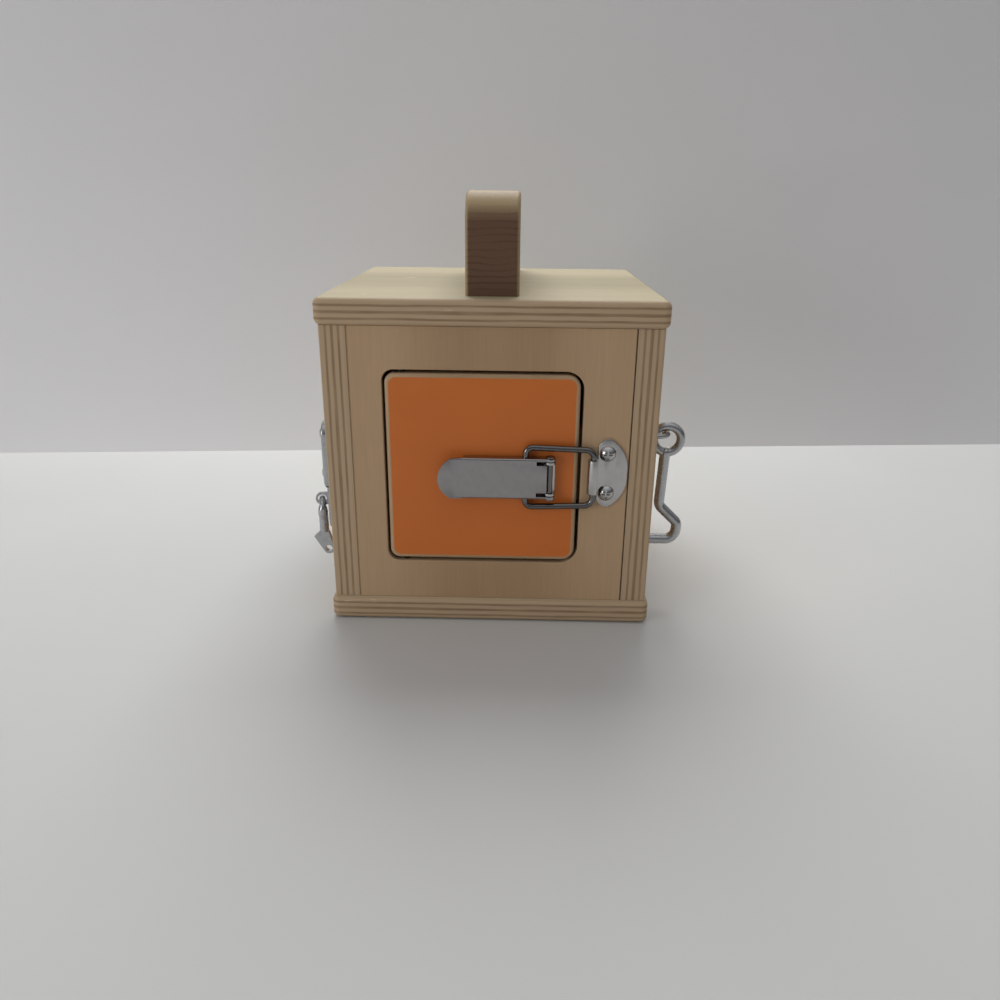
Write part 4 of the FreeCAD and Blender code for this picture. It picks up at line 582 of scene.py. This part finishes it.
class LATCHBOX_OT_stage(bpy.types.Operator):
    """Adds the floor, the wall behind, the lights and the camera"""

    bl_idname = "latch_box.stage"
    bl_label = "Stage"

    def execute(self, context):
        settings = stage_settings()
        scene = context.scene
        scene.view_settings.view_transform = "Standard"
        self.floor(settings)
        self.wall(settings)
        self.world(scene)
        self.lamp("back softbox", place=(-0.04, 0.48, 0.78), target=(0.0, -0.05, 0.05), size=0.6, power=6.3)
        self.lamp("front fill", place=(-0.75, -0.7, 0.25), target=(0.0, 0.0, 0.07), size=0.4, power=1.9)
        self.camera(scene)
        return {"FINISHED"}

    def board(self, name, colour):
        """A matt painted board, hardly mottled."""
        material, tree, bsdf = new_material(name, Roughness=0.7, Specular_IOR_Level=0.15)
        mottle = noise(tree, object_mm(tree), 0.01, 3.0)
        set_colour(tree, bsdf, shade_colour(tree, colour, between(tree, mottle, 0.975, 1.025)))
        return material, tree, bsdf

    def plane(self, name, material, **place):
        bpy.ops.object.select_all(action="DESELECT")
        bpy.ops.mesh.primitive_plane_add(size=STAGE_SIZE, **place)
        plane = bpy.context.object
        plane.name = name
        plane.data.materials.append(material)

    def floor(self, settings):
        material, _, _ = self.board("matt floor board", settings.floor)
        self.plane("stage_floor", material, location=(0.0, 0.0, -FLOOR_DROP))

    def wall(self, settings):
        """The wall is clear from behind and to shadow rays, so it hides no view and stops no light."""
        material, tree, bsdf = self.board("matt wall paint", settings.wall)
        behind = add_node(tree, "ShaderNodeNewGeometry").outputs["Backfacing"]
        shadow = add_node(tree, "ShaderNodeLightPath").outputs["Is Shadow Ray"]
        share = maths(tree, "MAXIMUM", behind, shadow)
        clear = add_node(tree, "ShaderNodeBsdfTransparent")
        mix = add_node(tree, "ShaderNodeMixShader", {}, {0: share, 1: bsdf.outputs[0], 2: clear.outputs[0]})
        tree.links.new(mix.outputs[0], tree.nodes["Material Output"].inputs["Surface"])
        place = (0.0, settings.wall_distance, STAGE_SIZE / 2)
        self.plane("stage_wall", material, location=place, rotation=(math.pi / 2, 0.0, settings.wall_turn))

    def world(self, scene):
        world = bpy.data.worlds.new("soft ceiling light")
        world.use_nodes = True
        tree = world.node_tree
        height = axis_of(tree, add_node(tree, "ShaderNodeTexCoord").outputs["Generated"], Z_AXIS)
        background = tree.nodes["Background"]
        tree.links.new(ramp(tree, height, ROOM_LIGHT), background.inputs["Color"])
        background.inputs["Strength"].default_value = 1.0
        scene.world = world

    def lamp(self, name, place, target, size, power):
        data = bpy.data.lights.new(name, "AREA")
        data.shape = "SQUARE"
        data.size = size
        data.energy = power
        lamp = bpy.data.objects.new(name, data)
        lamp.location = place
        lamp.rotation_euler = (Vector(target) - Vector(place)).to_track_quat("-Z", "Y").to_euler()
        bpy.context.scene.collection.objects.link(lamp)

    def camera(self, scene):
        data = bpy.data.cameras.new("photo view")
        data.sensor_width = SENSOR_WIDTH
        data.lens = FOCAL_PIXELS * SENSOR_WIDTH / PICTURE_PIXELS
        data.clip_start = 0.01
        data.clip_end = 20.0
        camera = bpy.data.objects.new("photo view", data)
        place = Matrix.Translation(Vector(CAMERA_PLACE) * MM)
        aim = Matrix.Rotation(CAMERA_YAW, 4, "Z") @ Matrix.Rotation(math.pi / 2 - CAMERA_PITCH, 4, "X")
        camera.matrix_world = place @ aim @ Matrix.Rotation(CAMERA_ROLL, 4, "Z")
        scene.collection.objects.link(camera)
        scene.camera = camera


class LATCHBOX_OT_panels(bpy.types.Operator):
    """Gives the six panels their plywood"""

    bl_idname = "latch_box.panels"
    bl_label = "Plywood panels"

    def execute(self, context):
        wood = wood_settings()
        # The lying panels take the paler, greener lid colours, which are partly painted sheen.
        lid = plywood("birch plywood, lying", Z_AXIS, X_AXIS, wood.lid_colour_and_sheen, wood.lid_figure_and_sheen)
        dress(lid, "top_panel", "bottom_panel")
        veneers = (wood.face_colour, wood.face_dark)
        walls = plywood("birch plywood, front and back", Y_AXIS, Z_AXIS, *veneers, seam=True)
        dress(walls, "front_panel", "back_panel")
        sides = plywood("birch plywood, sides", X_AXIS, Z_AXIS, *veneers)
        dress(sides, "left_panel", "right_panel")
        return {"FINISHED"}


class LATCHBOX_OT_doors(bpy.types.Operator):
    """Paints the four doors"""

    bl_idname = "latch_box.doors"
    bl_label = "Painted doors"

    def execute(self, context):
        paint = paint_settings()
        doors = (
            ("front_door", "orange", paint.front, Y_AXIS),
            ("back_door", "green", paint.back, Y_AXIS),
            ("right_door", "yellow", paint.right, X_AXIS),
            ("left_door", "blue", paint.left, X_AXIS),
        )
        for node, colour, shade, axis in doors:
            dress(painted_ply(f"{colour} satin paint on plywood", axis, Z_AXIS, shade, node), node)
        return {"FINISHED"}


class LATCHBOX_OT_handle(bpy.types.Operator):
    """Gives the handle its stained beech"""

    bl_idname = "latch_box.handle"
    bl_label = "Handle"

    def execute(self, context):
        dress(handle_wood("stained and waxed beech"), "handle")
        return {"FINISHED"}


class LATCHBOX_OT_inner(bpy.types.Operator):
    """Dresses the dowels, stops, pins, screws and washers inside"""

    bl_idname = "latch_box.inner"
    bl_label = "Inner pieces"

    def execute(self, context):
        wood = wood_settings()
        metal = metal_settings()
        softwood = plain_wood("unfinished spruce", wood.inner_colour, wood.inner_dark)
        dress(softwood, "top_dowels", "bottom_dowels", *nodes_named(end="_stop"))
        steel = smooth_metal("plain drawn steel", metal.plain, roughness=0.32, waviness=0.05, grain=0.3)
        dress(steel, "handle_screws", "handle_washers")
        oiled = smooth_metal("dark oiled steel", metal.oiled, roughness=0.45, waviness=0.05, grain=0.3)
        dress(oiled, *nodes_named(end="_door_pins"))
        return {"FINISHED"}


class LATCHBOX_OT_toggle(bpy.types.Operator):
    """Dresses the toggle latch and its strike plate"""

    bl_idname = "latch_box.toggle"
    bl_label = "Toggle latch"

    def execute(self, context):
        metal = metal_settings()
        plate = smooth_metal("bright nickel on pressed steel", metal.plate, roughness=0.17, waviness=0.12)
        for node in ("toggle_base", "strike_plate"):
            eased_copy(node, node + "_pressed", metal.edge_round, plate)
        dress(plate, "toggle_base_screws", "strike_screws")
        # The lever's metal is darker than the strike plate's: partly painted shade for its dark reflections.
        dark = smooth_metal("bright nickel darkened with painted shade on the lever", metal.lever, roughness=0.16, waviness=0.05)
        eased_copy("toggle_lever", "toggle_lever_pressed", metal.edge_round, dark)
        # The loop and pin are darker still: partly painted shade for the dark reflections along the wire.
        wire = smooth_metal("bright nickel darkened with painted shade on bent wire", metal.toggle_wire_and_shade, roughness=0.1, waviness=0.06)
        dress(wire, "toggle_bail", "toggle_pin")
        return {"FINISHED"}


class LATCHBOX_OT_hook(bpy.types.Operator):
    """Dresses the hook and its two screw eyes"""

    bl_idname = "latch_box.hook"
    bl_label = "Hook and eyes"

    def execute(self, context):
        metal = metal_settings()
        cast = smooth_metal("nickel on cast zinc", metal.cast, roughness=0.26, waviness=0.16, grain=0.15)
        dress(cast, "hook")
        wire = smooth_metal("nickel on bent wire, eyes", metal.wire, roughness=0.2, waviness=0.06)
        dress(wire, "hook_eye", "door_eye")
        return {"FINISHED"}


class LATCHBOX_OT_clip(bpy.types.Operator):
    """Dresses the snap clip and its plate"""

    bl_idname = "latch_box.clip"
    bl_label = "Snap clip"

    def execute(self, context):
        metal = metal_settings()
        cast = smooth_metal("nickel on cast zinc, clip", metal.cast, roughness=0.24, waviness=0.12, grain=0.1)
        dress(cast, "clip_plate", "clip_body", "clip_gate", "clip_eye")
        screws = smooth_metal("nickel on screws", metal.plate, roughness=0.2, waviness=0.05)
        dress(screws, "clip_plate_screws", "clip_gate_pin")
        return {"FINISHED"}


class LATCHBOX_OT_hasp(bpy.types.Operator):
    """Dresses the hasp and its staple"""

    bl_idname = "latch_box.hasp"
    bl_label = "Hasp and staple"

    def execute(self, context):
        plate = smooth_metal("bright nickel on hasp", metal_settings().plate, roughness=0.2, waviness=0.1)
        dress(plate, *nodes_named("hasp_"), *nodes_named("staple"))
        return {"FINISHED"}


class LATCHBOX_OT_bolt(bpy.types.Operator):
    """Dresses the barrel bolt and its keeper"""

    bl_idname = "latch_box.bolt"
    bl_label = "Barrel bolt"

    def execute(self, context):
        plate = smooth_metal("bright nickel on bolt", metal_settings().plate, roughness=0.2, waviness=0.1)
        dress(plate, *nodes_named("bolt_"))
        return {"FINISHED"}


OPERATORS = (
    LATCHBOX_OT_stage,
    LATCHBOX_OT_panels,
    LATCHBOX_OT_doors,
    LATCHBOX_OT_handle,
    LATCHBOX_OT_inner,
    LATCHBOX_OT_toggle,
    LATCHBOX_OT_hook,
    LATCHBOX_OT_clip,
    LATCHBOX_OT_hasp,
    LATCHBOX_OT_bolt,
)

SETTINGS = {
    "latch_box_wood": LatchBoxWood,
    "latch_box_paint": LatchBoxPaint,
    "latch_box_metal": LatchBoxMetal,
    "latch_box_stage": LatchBoxStage,
}


class LATCHBOX_PT_panel(bpy.types.Panel):
    """Lists the latch box's settings and the steps that make it"""

    bl_idname = "LATCHBOX_PT_panel"
    bl_label = "Latch box"
    bl_space_type = "VIEW_3D"
    bl_region_type = "UI"
    bl_category = "Latch box"

    def draw(self, context):
        for name in SETTINGS:
            group = getattr(context.scene, name)
            column = self.layout.column()
            for prop in group.bl_rna.properties:
                if not prop.is_readonly and prop.identifier != "name":
                    column.prop(group, prop.identifier)
        for operator in OPERATORS:
            self.layout.operator(operator.bl_idname)


def register():
    for name, group in SETTINGS.items():
        bpy.utils.register_class(group)
        setattr(bpy.types.Scene, name, bpy.props.PointerProperty(type=group))
    for cls in (*OPERATORS, LATCHBOX_PT_panel):
        bpy.utils.register_class(cls)


def unregister():
    for cls in reversed((*OPERATORS, LATCHBOX_PT_panel)):
        bpy.utils.unregister_class(cls)
    for name, group in SETTINGS.items():
        delattr(bpy.types.Scene, name)
        bpy.utils.unregister_class(group)


def main():
    register()
    for operator in OPERATORS:
        group, action = operator.bl_idname.split(".")
        getattr(getattr(bpy.ops, group), action)()


if __name__ == "__main__":
    main()
